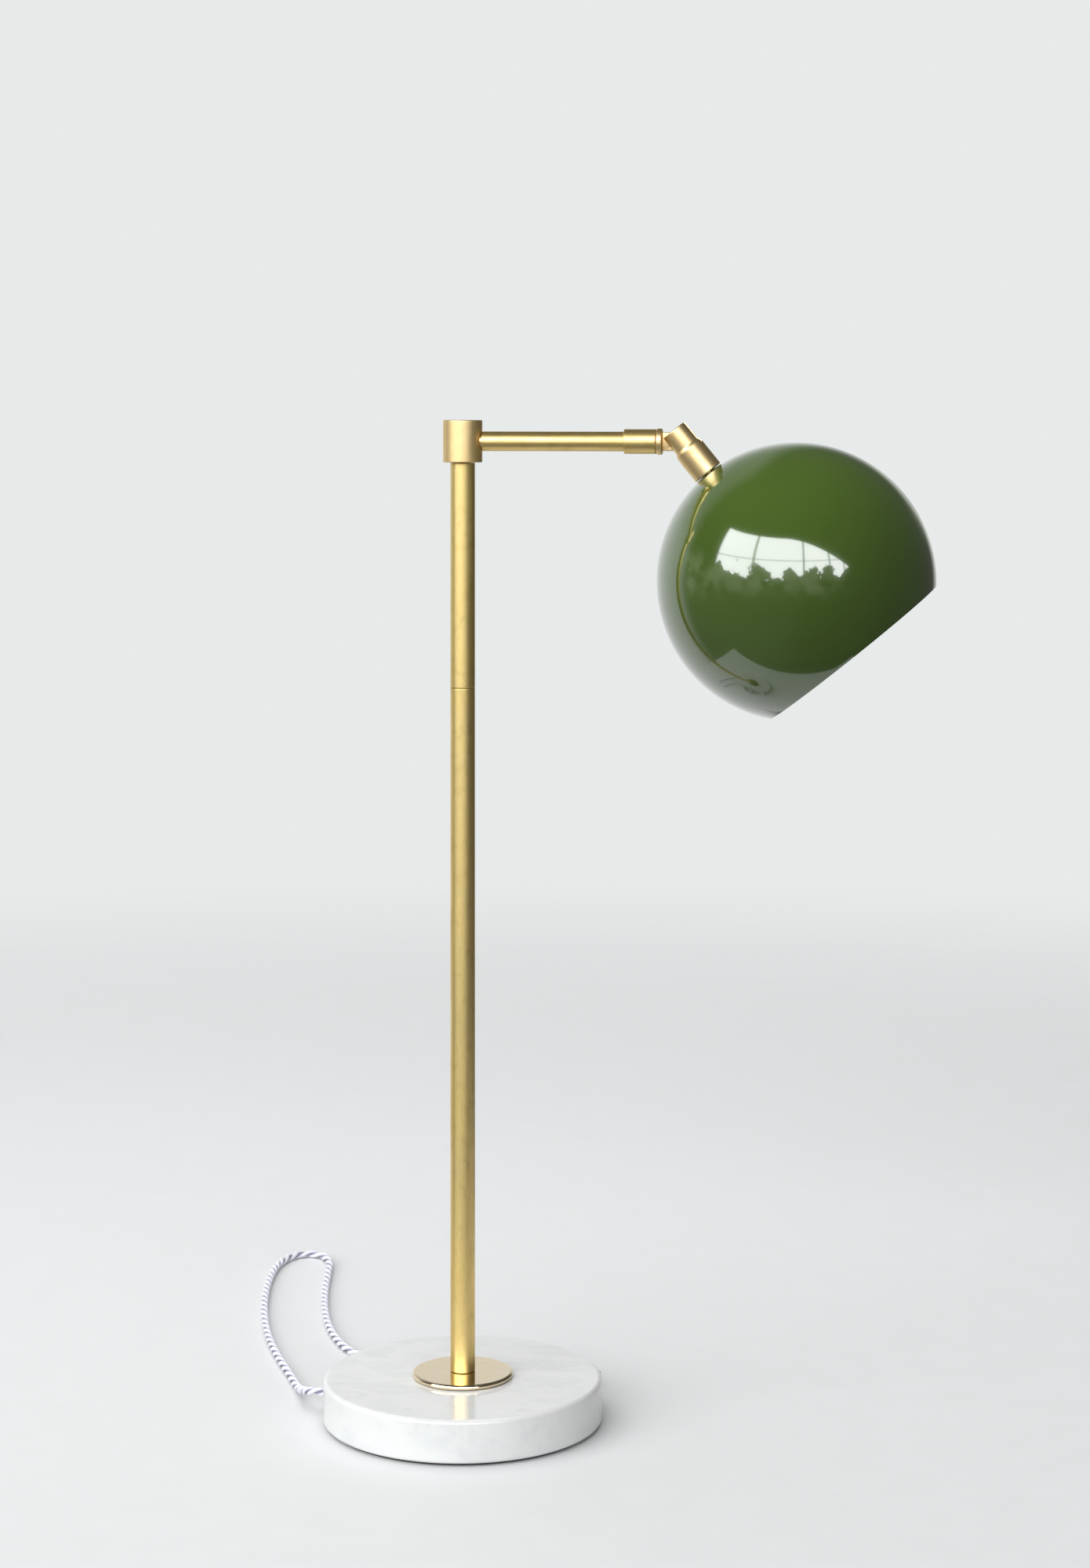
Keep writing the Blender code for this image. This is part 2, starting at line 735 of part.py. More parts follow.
def build_bulb(axis, middle):
    wall = 0.0008
    sphere_middle = BULB_TIP + BULB_RADIUS
    neck_top = 0.0182
    neck = [(0.0128, neck_top), (0.0132, 0.0120), (0.0144, 0.0055), (0.0166, -0.0008)]
    turned(
        "bulb_glass",
        [(0, BULB_TIP + wall)]
        + arc((0, sphere_middle), BULB_RADIUS - wall, -75, 35, 6)
        + [(radius - wall, height) for radius, height in reversed(neck)]
        + neck
        + arc((0, sphere_middle), BULB_RADIUS, 35, -90, 7),
        "frosted_glass",
        MEDIUM,
        parent=axis,
        location=middle,
    )
    turned(
        "bulb_base",
        [(0, 0.0442), (0.0040, 0.0442), (0.0085, 0.0425), (0.0120, 0.0400), (0.0130, 0.0385),
         (0.0130, neck_top + GAP), (0, neck_top + GAP)],
        "zinc_steel",
        MEDIUM,
        parent=axis,
        location=middle,
    )


def build_switch(axis, middle):
    """The turn knob and its shaft, about an axis that runs towards -Y."""
    knob_axis = pivot(
        "switch_axis", middle + Vector((0, 0, SWITCH_HEIGHT)), (math.radians(90), 0, 0), axis
    )
    turned(
        "switch_knob",
        [(0, 0.0290), (0.0046, 0.0290), (0.0055, 0.0281), (0.0055, 0.0190), (0.0045, 0.0182),
         (0.0018, 0.0182), (0.0018, 0.0065), (0, 0.0065)],
        "phenolic",
        SMALL,
        parent=knob_axis,
    )


# ---- Cord ---------------------------------------------------------------------
def build_cord():
    tube("cord_lead", LEAD_ROUTE, CORD_RADIUS, "cloth_cord", CORD_POINT_SPACING)
    tube("cord_tail", TAIL_ROUTE, CORD_RADIUS, "cloth_cord", 0.0110)

    inner = COIL_TURNS[0] - CORD_RADIUS
    outer = COIL_TURNS[1] + CORD_RADIUS
    step = COIL_TOP_TURN + CORD_RADIUS
    low_top = COIL_FLOOR + 2 * CORD_RADIUS
    high_top = low_top + 2 * CORD_RADIUS - NEST
    ease = 0.0010
    turned(
        "cord_coil",
        [(inner, high_top - ease), (inner + ease, high_top), (step - ease, high_top),
         (step, high_top - ease), (step, low_top), (outer - ease, low_top),
         (outer, low_top - ease), (outer, COIL_FLOOR), (inner, COIL_FLOOR)],
        "cloth_cord",
        MEDIUM,
        location=(*COIL_CENTRE, 0),
    )

    band = bpy.data.curves.new("coil_tie", "CURVE")
    band.dimensions = "2D"
    band.fill_mode = "BOTH"
    band.extrude = TIE_WIDTH / 2
    left = inner - 2 * GAP
    right = outer + GAP
    bundle = [
        (left, COIL_FLOOR - GAP),
        (right, COIL_FLOOR - GAP),
        (right, low_top + GAP),
        (step + GAP, high_top + GAP),
        (left, high_top + GAP),
    ]
    wrap = [
        (left - TIE_SKIN, COIL_FLOOR - GAP - TIE_SKIN),
        (right + TIE_SKIN, COIL_FLOOR - GAP - TIE_SKIN),
        (right + TIE_SKIN, low_top + GAP + TIE_SKIN),
        (step + GAP + TIE_SKIN, high_top + GAP + TIE_SKIN),
        (left - TIE_SKIN, high_top + GAP + TIE_SKIN),
    ]
    for loop in (wrap, bundle):
        spline = band.splines.new("POLY")
        spline.points.add(len(loop) - 1)
        spline.use_cyclic_u = True
        for point, (x, y) in zip(spline.points, loop):
            point.co = (x, y, 0, 1)
    upright = (math.radians(90), 0, math.radians(TIE_ANGLE))
    place("coil_tie", band, "phenolic", None, (*COIL_CENTRE, 0), upright)


def build_plug():
    length, width, height = PLUG_SIZE
    heading = (0, 0, math.radians(PLUG_HEADING))
    where = (*PLUG_REAR, 0)
    body = box(
        "plug_body", (length, width, height), (length / 2 + GAP, 0, height / 2 + 0.0002),
        "white_plastic", None, where, heading,
    )
    middle = height / 2
    rear_width = 0.45
    rear_height = 0.70
    for vertex in body.data.vertices:
        if vertex.co.x < length / 2:
            vertex.co.y *= rear_width
            vertex.co.z = middle + (vertex.co.z - middle) * rear_height
    edges = body.modifiers.new("rounded", "BEVEL")
    edges.width = 0.0020
    edges.segments = 3
    for side, name in ((-1, "plug_blade_right"), (1, "plug_blade_left")):
        box(
            name, (0.0170, 0.0015, 0.00635), (length + 2 * GAP + 0.0085, side * 0.00635, middle),
            "polished_brass", None, where, heading,
        )


def main():
    clear_scene()
    build_base()
    build_base_fasteners()
    build_stem()
    arm_line = build_arm()
    build_knuckle(arm_line)
    tilt = pivot("shade_tilt_axis", (PIVOT_X, 0, ARM_HEIGHT), (0, math.radians(-SHADE_TILT), 0))
    middle = Vector((0, 0, -PIVOT_HEIGHT))
    build_shade(tilt, middle)
    build_socket(tilt, middle)
    build_bulb(tilt, middle)
    build_switch(tilt, middle)
    build_cord()
    build_plug()


main()
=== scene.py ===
"""Looks of the adjustable arm table lamp: marble base, brass stem and arm, green globe shade.

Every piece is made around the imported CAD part, in its frame and in metres. Sizes come from
the CAD nodes where they can, and the rest are named values.
"""
import json
import math

import bmesh
import bpy
import numpy as np
from mathutils import Matrix, Vector


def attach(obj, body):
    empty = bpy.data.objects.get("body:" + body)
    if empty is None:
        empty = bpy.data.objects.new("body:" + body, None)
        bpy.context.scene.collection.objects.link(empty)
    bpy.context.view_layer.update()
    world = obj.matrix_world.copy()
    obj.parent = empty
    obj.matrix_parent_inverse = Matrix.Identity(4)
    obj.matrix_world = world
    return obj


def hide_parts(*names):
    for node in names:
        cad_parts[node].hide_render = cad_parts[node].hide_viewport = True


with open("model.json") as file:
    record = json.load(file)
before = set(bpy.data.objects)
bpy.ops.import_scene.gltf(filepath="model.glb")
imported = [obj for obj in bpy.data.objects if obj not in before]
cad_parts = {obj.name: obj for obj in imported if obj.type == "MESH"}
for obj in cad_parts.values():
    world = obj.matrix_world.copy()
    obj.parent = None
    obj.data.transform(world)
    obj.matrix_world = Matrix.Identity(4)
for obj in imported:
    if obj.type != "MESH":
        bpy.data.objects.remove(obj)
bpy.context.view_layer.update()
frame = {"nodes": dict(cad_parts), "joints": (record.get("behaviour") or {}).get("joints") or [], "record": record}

# ---- Lines that the pieces are turned about ----
JOINT_AT = {joint["name"]: Vector(joint["pos_m"]) for joint in frame["joints"]}
SHADE_TILT = math.radians(39)         # the shade's axis, from upright
PIVOT_TO_SPHERE = 0.1146              # from the tilt pivot to the centre of the shade's sphere

UPRIGHT = Matrix.Identity(4)
TO_X = Matrix.Rotation(math.radians(90), 4, "Y")
QUARTER_X = Matrix.Rotation(math.radians(90), 4, "X")
ALONG_ARM = Matrix.Translation((0, 0, JOINT_AT["knuckle_roll"].z)) @ TO_X
TILTED = Matrix.Translation(JOINT_AT["shade_tilt"]) @ Matrix.Rotation(-SHADE_TILT, 4, "Y")
SHADE_AXIS = TILTED @ Matrix.Translation((0, 0, -PIVOT_TO_SPHERE))
PIVOT_AXIS = TILTED @ Matrix.Rotation(math.radians(-90), 4, "X")
KNOB_AXIS = Matrix.Translation(JOINT_AT["switch_turn"]) @ (
    Matrix.Rotation(-SHADE_TILT, 4, "Y") @ QUARTER_X
)
FINE = 128                            # sides of a large turned piece
MEDIUM = 80
PIPE_HOLE = 0.0052                    # what the threaded lamp pipe passes through
GAP = 0.0003                          # between neighbouring pieces
EASED = 0.0003                        # fillet of an edge that was broken with a file
CREASE = 0.0002                       # fillet of an edge left nearly sharp


def span(node, line):
    """The largest radius and the lowest and highest point of a CAD node about a line's local Z."""
    to_line = line.inverted()
    points = [to_line @ vertex.co for vertex in frame["nodes"][node].data.vertices]
    heights = [point.z for point in points]
    return max(math.hypot(point.x, point.y) for point in points), min(heights), max(heights)


# ---- Camera ----
VIEW_TURN = math.radians(7.7)         # the view's turn from +Y, towards -X


def build_camera():
    data = bpy.data.cameras.new("camera")
    data.lens = 72.9
    data.shift_y = -0.25
    camera = into_scene("camera", data)
    camera.location = (0.3278, -2.0274, 0.665)
    camera.rotation_euler = (math.radians(90), 0, VIEW_TURN)
    bpy.context.scene.camera = camera
    bpy.context.scene.view_settings.view_transform = "Standard"


# ---- Node helpers ----
EVEN = (1, 1, 1)


def add(tree, kind, inputs=None, **settings):
    """A shader node. An input is set from a value, or linked from another node's output."""
    node = tree.nodes.new("ShaderNode" + kind)
    for name, value in settings.items():
        setattr(node, name, value)
    for name, value in (inputs or {}).items():
        if isinstance(value, bpy.types.NodeSocket):
            tree.links.new(value, node.inputs[name])
        else:
            node.inputs[name].default_value = value
    return node


def calc(tree, operation, *values):
    node = tree.nodes.new("ShaderNodeMath")
    node.operation = operation
    for socket, value in zip(node.inputs, values):
        if isinstance(value, bpy.types.NodeSocket):
            tree.links.new(value, socket)
        else:
            socket.default_value = value
    return node.outputs[0]


def times(tree, first, second):
    return calc(tree, "MULTIPLY", first, second)


def between(tree, value, low, high, start=0.0, end=1.0):
    """Value, smoothly taken from low..high to start..end."""
    node = add(tree, "MapRange", interpolation_type="SMOOTHSTEP")
    tree.links.new(value, node.inputs["Value"])
    for name, number in zip(("From Min", "From Max", "To Min", "To Max"), (low, high, start, end)):
        node.inputs[name].default_value = number
    return node.outputs["Result"]


def stretched(tree, scale):
    """The piece's own coordinates, in metres, times a scale for each axis."""
    where = add(tree, "TexCoord").outputs["Object"]
    return add(tree, "Mapping", {"Vector": where, "Scale": scale}).outputs["Vector"]


def noise(tree, vector, scale, detail=3.0, roughness=0.55, distortion=0.0):
    """Noise at a place, or in the piece's own coordinates times a scale for each axis."""
    if isinstance(vector, tuple):
        vector = stretched(tree, vector)
    inputs = {"Vector": vector, "Scale": scale, "Detail": detail, "Roughness": roughness,
              "Distortion": distortion}
    return add(tree, "TexNoise", inputs).outputs["Fac"]


def ramp(tree, factor, *stops):
    """Colours or greys at places from 0 to 1."""
    node = add(tree, "ValToRGB", {"Fac": factor})
    elements = node.color_ramp.elements
    while len(elements) < len(stops):
        elements.new(1.0)
    for element, (place, colour) in zip(elements, stops):
        element.position = place
        element.color = (*colour, 1.0) if isinstance(colour, tuple) else (colour, colour, colour, 1.0)
    return node.outputs["Color"]


def mixed(tree, factor, first, second, blend="MIX"):
    node = tree.nodes.new("ShaderNodeMix")
    node.data_type = "RGBA"
    node.blend_type = blend
    for socket, value in zip((node.inputs[0], node.inputs[6], node.inputs[7]), (factor, first, second)):
        if isinstance(value, bpy.types.NodeSocket):
            tree.links.new(value, socket)
        else:
            socket.default_value = (*value, 1.0) if isinstance(value, tuple) else value
    return node.outputs[2]


def bumped(tree, height, distance, strength=1.0, under=None):
    inputs = {"Height": height, "Distance": distance, "Strength": strength}
    if under:
        inputs["Normal"] = under
    return add(tree, "Bump", inputs).outputs["Normal"]


def new_look(name, **sockets):
    """A material with a Principled BSDF, and the constant sockets set on it."""
    material = bpy.data.materials.new(name)
    material.use_nodes = True
    tree = material.node_tree
    shader = tree.nodes["Principled BSDF"]
    for socket, value in sockets.items():
        shader.inputs[socket.replace("_", " ")].default_value = value
    return material, tree, shader


def wire_up(tree, shader, **outputs):
    for socket, output in outputs.items():
        tree.links.new(output, shader.inputs[socket.replace("_", " ")])


# ---- Materials ----
def raw_brass():
    """Drawn tube, not lacquered: fine lines along it, and clouds of light brown tarnish."""
    material, tree, shader = new_look("raw_brass", Metallic=1.0)
    clouds = noise(tree, (1, 1, 0.35), 38, 5, 0.62, 0.6)
    patches = noise(tree, (1, 1, 0.6), 140, 4, 0.7)
    lines = noise(tree, (1, 1, 0.02), 2600, 3, 0.6)
    clean = ramp(tree, clouds, (0.30, (0.79, 0.585, 0.225)), (0.66, (0.95, 0.722, 0.320)))
    spotted = mixed(tree, ramp(tree, patches, (0.52, 0.0), (0.80, 0.50)), clean, (0.55, 0.385, 0.120))
    colour = mixed(tree, 0.18, spotted, ramp(tree, lines, (0.3, 0.55), (0.7, 1.0)), "MULTIPLY")
    rough = calc(tree, "ADD", between(tree, clouds, 0.25, 0.75, 0.46, 0.36),
                 times(tree, lines, 0.06))
    wire_up(tree, shader, Base_Color=colour, Roughness=rough,
            Normal=bumped(tree, lines, 0.00002, 0.35))
    return material


def satin_brass():
    """Turned on a lathe: very fine rings about the piece's own axis."""
    material, tree, shader = new_look("satin_brass", Metallic=1.0)
    rings = noise(tree, (0.02, 0.02, 1), 3800, 2, 0.5)
    clouds = noise(tree, EVEN, 70, 4, 0.6)
    colour = ramp(tree, clouds, (0.32, (0.84, 0.615, 0.30)), (0.68, (0.92, 0.70, 0.385)))
    rough = calc(tree, "ADD", between(tree, clouds, 0.3, 0.7, 0.46, 0.40),
                 times(tree, rings, 0.08))
    wire_up(tree, shader, Base_Color=colour, Roughness=rough,
            Normal=bumped(tree, rings, 0.000005, 0.25))
    return material


def polished_brass():
    material, tree, shader = new_look("polished_brass", Metallic=1.0)
    smear = noise(tree, EVEN, 90, 4, 0.6, 0.5)
    colour = ramp(tree, smear, (0.3, (0.90, 0.735, 0.50)), (0.7, (0.935, 0.79, 0.58)))
    wire_up(tree, shader, Base_Color=colour, Roughness=between(tree, smear, 0.35, 0.75, 0.035, 0.11))
    return material


def zinc_steel():
    material, tree, shader = new_look("zinc_steel", Metallic=1.0)
    spangle = noise(tree, EVEN, 420, 3, 0.6)
    scuff = noise(tree, (1, 1, 0.1), 1500, 3, 0.6)
    wire_up(tree, shader,
            Base_Color=ramp(tree, spangle, (0.3, (0.46, 0.48, 0.50)), (0.7, (0.62, 0.63, 0.64))),
            Roughness=between(tree, scuff, 0.3, 0.7, 0.26, 0.42),
            Normal=bumped(tree, scuff, 0.00002, 0.3))
    return material


def marble():
    """White marble: soft grey clouds and a few thin, broken veins, polished."""
    material, tree, shader = new_look(
        "marble", IOR=1.5, Coat_Weight=0.35, Coat_Roughness=0.05, Subsurface_Weight=0.12,
        Subsurface_Scale=0.004,
    )
    where = stretched(tree, (1.0, 1.7, 1.3))
    warp = add(tree, "TexNoise", {"Vector": where, "Scale": 9.0, "Detail": 4.0, "Roughness": 0.6})
    bent = add(tree, "VectorMath", {0: where, 1: warp.outputs["Color"]}, operation="ADD").outputs[0]
    clouds = noise(tree, bent, 5.5, 6, 0.62)
    body = ramp(tree, clouds, (0.34, (0.575, 0.580, 0.587)), (0.52, (0.630, 0.633, 0.632)),
                (0.70, (0.655, 0.655, 0.650)))
    ridge = calc(tree, "ABSOLUTE", calc(tree, "SUBTRACT", noise(tree, bent, 3.1, 7, 0.55), 0.5))
    vein = ramp(tree, ridge, (0.0, 1.0), (0.010, 0.55), (0.035, 0.0))
    broken = between(tree, noise(tree, where, 16, 3), 0.42, 0.64)
    amount = times(tree, times(tree, vein, broken), 0.32)
    grain = noise(tree, where, 900, 2)
    colour = mixed(tree, amount, body, (0.50, 0.515, 0.53))
    wire_up(tree, shader, Base_Color=colour, Roughness=between(tree, grain, 0.3, 0.7, 0.13, 0.20),
            Normal=bumped(tree, clouds, 0.00004, 0.2))
    return material


def felt():
    material, tree, shader = new_look("felt", Sheen_Weight=0.3, Sheen_Roughness=0.6)
    fibres = noise(tree, EVEN, 2400, 5, 0.75, 1.5)
    wire_up(tree, shader,
            Base_Color=ramp(tree, fibres, (0.3, (0.012, 0.011, 0.012)), (0.75, (0.060, 0.052, 0.055))),
            Roughness=between(tree, fibres, 0.2, 0.8, 0.88, 1.0),
            Normal=bumped(tree, fibres, 0.0002, 0.8))
    return material


def enamel(name, low, high):
    """Sprayed gloss enamel: a clear smooth skin over a very slight orange peel."""
    material, tree, shader = new_look(name, Coat_Weight=1.0, Coat_Roughness=0.02, Coat_IOR=1.7, IOR=1.5)
    cloud = noise(tree, EVEN, 14, 3)
    peel = noise(tree, EVEN, 420, 2, 0.4)
    wire_up(tree, shader, Base_Color=ramp(tree, cloud, (0.3, low), (0.7, high)),
            Roughness=between(tree, cloud, 0.3, 0.7, 0.16, 0.11),
            Normal=bumped(tree, peel, 0.00001, 0.10))
    return material


def moulded(name, low, high, rough, grain_depth=0.00004):
    """Moulded plastic with a fine spark texture."""
    material, tree, shader = new_look(name)
    grain = noise(tree, EVEN, 2200, 3, 0.6)
    cloud = noise(tree, EVEN, 60, 3)
    wire_up(tree, shader, Base_Color=ramp(tree, cloud, (0.3, low), (0.7, high)),
            Roughness=between(tree, grain, 0.25, 0.75, rough, rough + 0.12),
            Normal=bumped(tree, grain, grain_depth, 0.25))
    return material


def fibre_liner():
    material, tree, shader = new_look("fibre_liner")
    strands = noise(tree, (1, 1, 0.25), 700, 5, 0.7)
    wire_up(tree, shader,
            Base_Color=ramp(tree, strands, (0.3, (0.36, 0.26, 0.14)), (0.7, (0.52, 0.40, 0.25))),
            Roughness=between(tree, strands, 0.3, 0.7, 0.7, 0.9),
            Normal=bumped(tree, strands, 0.0001, 0.5))
    return material


def frosted_glass():
    material, tree, shader = new_look(
        "frosted_glass", IOR=1.5, Subsurface_Weight=0.5, Subsurface_Scale=0.01, Coat_Weight=0.4,
        Coat_Roughness=0.15,
    )
    frost = noise(tree, EVEN, 1800, 4, 0.6)
    wire_up(tree, shader,
            Base_Color=ramp(tree, frost, (0.3, (0.84, 0.84, 0.82)), (0.7, (0.93, 0.93, 0.91))),
            Roughness=between(tree, frost, 0.3, 0.7, 0.30, 0.45),
            Normal=bumped(tree, frost, 0.00003, 0.3))
    return material


def cloth_cord():
    """Braid in two directions about each strand: U runs round it, with 0.5 where it meets the
    other strand, and V along it, in metres. Painted shade darkens the braid's hollows and the
    line where the two strands meet, and random patches of dust grey it."""
    material, tree, shader = new_look("cloth_cord", Sheen_Weight=0.4, Sheen_Roughness=0.4)
    uv = add(tree, "SeparateXYZ", {"Vector": add(tree, "TexCoord").outputs["UV"]})
    around = times(tree, uv.outputs["X"], 8 * 2 * math.pi)
    along = times(tree, uv.outputs["Y"], 2 * math.pi / 0.0011)
    left = calc(tree, "SINE", calc(tree, "ADD", around, along))
    right = calc(tree, "SINE", calc(tree, "SUBTRACT", around, along))
    weave = between(tree, times(tree, left, right), -1.0, 1.0)
    soil = noise(tree, EVEN, 40, 3)
    # Thread colour: pale on the braid's crests, and darker and bluer in its hollows, which is painted shade.
    thread = ramp(tree, weave, (0.0, (0.56, 0.56, 0.66)), (0.6, (0.78, 0.78, 0.84)))
    # Painted shade: darker and bluer along the line where the two strands meet.
    off_groove = calc(tree, "ABSOLUTE", calc(tree, "SUBTRACT", uv.outputs["X"], 0.5))
    strand_meet_shade = between(tree, off_groove, 0.34, 0.16, 0.0, 0.85)
    shaded = mixed(tree, strand_meet_shade, thread, (0.24, 0.24, 0.36))
    colour = mixed(tree, between(tree, soil, 0.4, 0.8, 0.0, 0.25), shaded, (0.60, 0.59, 0.63))
    wire_up(tree, shader, Base_Color=colour, Roughness=between(tree, weave, 0, 1, 0.9, 0.7),
            Normal=bumped(tree, weave, 0.00015, 0.7))
    return material


LOOKS = {
    "raw_brass": raw_brass(),
    "satin_brass": satin_brass(),
    "polished_brass": polished_brass(),
    "zinc_steel": zinc_steel(),
    "marble": marble(),
    "felt": felt(),
    "green_enamel": enamel("green_enamel", (0.040, 0.075, 0.0075), (0.045, 0.083, 0.009)),
    "phenolic": moulded("phenolic", (0.018, 0.017, 0.016), (0.030, 0.028, 0.026), 0.28),
    "tie_band": moulded("tie_band", (0.020, 0.020, 0.022), (0.034, 0.034, 0.036), 0.55),
    "fibre_liner": fibre_liner(),
    "frosted_glass": frosted_glass(),
    "nylon": moulded("nylon", (0.76, 0.75, 0.70), (0.84, 0.83, 0.79), 0.38),
    "wire_insulation": moulded("wire_insulation", (0.74, 0.74, 0.73), (0.82, 0.82, 0.82), 0.35),
    "cloth_cord": cloth_cord(),
    "white_plastic": moulded("white_plastic", (0.78, 0.78, 0.80), (0.84, 0.84, 0.86), 0.30),
}
WHITE_ENAMEL = enamel("white_enamel", (0.76, 0.76, 0.74), (0.82, 0.82, 0.80))


# ---- Mesh helpers ----
def into_scene(name, data, line=UPRIGHT):
    """A new object for a mesh, a light or a camera."""
    obj = bpy.data.objects.new(name, data)
    obj.matrix_world = line
    bpy.context.scene.collection.objects.link(obj)
    return obj


def mesh_of(bm, name, face_out=False):
    """Turn a bmesh into a mesh, and free it."""
    if face_out:
        bmesh.ops.recalc_face_normals(bm, faces=bm.faces[:])
    mesh = bpy.data.meshes.new(name)
    bm.to_mesh(mesh)
    bm.free()
    return mesh


def keep(name, mesh, look, line=UPRIGHT, sharp=40):
    """A new object with its look, smooth but for edges sharper than the angle."""
    obj = into_scene(name, mesh, line)
    mesh.materials.append(LOOKS[look])
    mesh.shade_smooth()
    mesh.set_sharp_from_angle(angle=math.radians(sharp))
    return obj


def join_body(obj, body, look, *nodes):
    """The piece moves with a body and stands for CAD nodes, which are hidden. The look is not used."""
    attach(obj, body)
    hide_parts(*nodes)
    return obj


def rounded(corners, closed=True, steps=5):
    """An outline of (radius, height) points, from corners of (radius, height, fillet)."""
    outline = []
    count = len(corners)
    for i, (radius, height, fillet) in enumerate(corners):
        at_end = not closed and i in (0, count - 1)
        here = Vector((radius, height))
        if fillet == 0 or at_end:
            outline.append(here)
            continue
        back = (Vector(corners[i - 1][:2]) - here).normalized()
        on = (Vector(corners[(i + 1) % count][:2]) - here).normalized()
        half = back.angle(on) / 2
        reach = fillet / math.tan(half)
        centre = here + (back + on).normalized() * (fillet / math.sin(half))
        first = here + back * reach - centre
        turn = first.angle_signed(here + on * reach - centre)
        for k in range(steps + 1):
            outline.append(centre + Matrix.Rotation(-turn * k / steps, 2) @ first)
    return [tuple(point) for point in outline]


def arc(centre, radius, start, end, steps):
    """Points on an arc, with angles in degrees."""
    angles = [math.radians(start + (end - start) * k / steps) for k in range(steps + 1)]
    return [(centre[0] + radius * math.cos(a), centre[1] + radius * math.sin(a)) for a in angles]


def supported(outline, closed, longest=0.0040, margin=0.0005):
    """The same outline with a point near both ends of each long straight side, so that a rounded
    edge doesn't bend the shading of the whole side."""
    points = []
    count = len(outline)
    for i, (radius, height) in enumerate(outline):
        points.append((radius, height))
        if i == count - 1 and not closed:
            break
        here = Vector((radius, height))
        side = Vector(outline[(i + 1) % count]) - here
        if side.length > longest:
            points.append(tuple(here + side * (margin / side.length)))
            points.append(tuple(here + side * (1 - margin / side.length)))
    return points


def bridge(bm, rings):
    """Faces between each ring of points and the next."""
    for here, there in zip(rings, rings[1:]):
        for k in range(len(here)):
            after = (k + 1) % len(here)
            bm.faces.new((here[k], here[after], there[after], there[k]))


def close_ends(bm, rings):
    bm.faces.new(list(reversed(rings[0])))
    bm.faces.new(rings[-1])


def turned(name, outline, look, line=UPRIGHT, sides=MEDIUM, reshape=None, sharp=40):
    """Turn an outline about the line. It runs from the top down its outer side. One that starts
    and ends on the axis is open, and any other is a loop. reshape(angle, radius, height) gives
    a new radius, for threads and ribs."""
    closed = min(radius for radius, _ in outline) > 1e-6
    outline = supported(outline, closed)
    bm = bmesh.new()
    rings = []
    for radius, height in outline:
        if radius <= 1e-6:
            rings.append([bm.verts.new((0, 0, height))] * sides)
            continue
        row = []
        for k in range(sides):
            angle = 2 * math.pi * k / sides
            r = reshape(angle, radius, height) if reshape else radius
            row.append(bm.verts.new((r * math.cos(angle), r * math.sin(angle), height)))
        rings.append(row)
    pairs = list(zip(rings, rings[1:]))
    if closed:
        pairs.append((rings[-1], rings[0]))
    for upper, lower in pairs:
        for k in range(sides):
            after = (k + 1) % sides
            loop = [upper[k], lower[k], lower[after], upper[after]]
            corners = [v for i, v in enumerate(loop) if v not in loop[:i]]
            if len(corners) > 2:
                bm.faces.new(corners)
    return keep(name, mesh_of(bm, name), look, line, sharp)


def block(size, centre, line=UPRIGHT):
    """A scratch box to cut with."""
    bm = bmesh.new()
    bmesh.ops.create_cube(bm, size=1.0)
    bmesh.ops.scale(bm, vec=size, verts=bm.verts)
    bmesh.ops.translate(bm, vec=centre, verts=bm.verts)
    return into_scene("block", mesh_of(bm, "block"), line)


def hole(radius, top, bottom, line, sides=32):
    """A scratch rod to cut with."""
    outline = [(0, top), (radius, top), (radius, bottom), (0, bottom)]
    return turned("hole", outline, "marble", line, sides)


def cut_out(obj, cutters, edge=0.0, sharp=35):
    """Take the cutters' shapes out, then ease the new edges."""
    for cutter in cutters:
        step = obj.modifiers.new("cut", "BOOLEAN")
        step.operation = "DIFFERENCE"
        step.solver = "EXACT"
        step.object = cutter
    if edge:
        ease = obj.modifiers.new("ease", "BEVEL")
        ease.width = edge
        ease.segments = 3
        ease.limit_method = "ANGLE"
        ease.angle_limit = math.radians(40)
        ease.use_clamp_overlap = True
    bpy.context.view_layer.update()
    mesh = bpy.data.meshes.new_from_object(obj.evaluated_get(bpy.context.evaluated_depsgraph_get()))
    obj.modifiers.clear()
    obj.data = mesh
    mesh.shade_smooth()
    mesh.set_sharp_from_angle(angle=math.radians(sharp))
    for cutter in cutters:
        bpy.data.objects.remove(cutter)
    return obj


def turned_piece(name, outline, body, look, node, line=UPRIGHT, cutters=(), edge=0.0, **how):
    """A turned piece, less the cutters' shapes, that moves with a body and stands for a CAD node."""
    obj = turned(name, outline, look, line, **how)
    if cutters:
        cut_out(obj, cutters, edge)
    return join_body(obj, body, look, node)


# ---- Base and stem ----
EDGE_ROUND = 0.0030                   # the marble's rounded edges
RECESS_RADIUS = 0.0230
RECESS_TOP = 0.0200
CORD_EXIT_HEIGHT = 0.0145


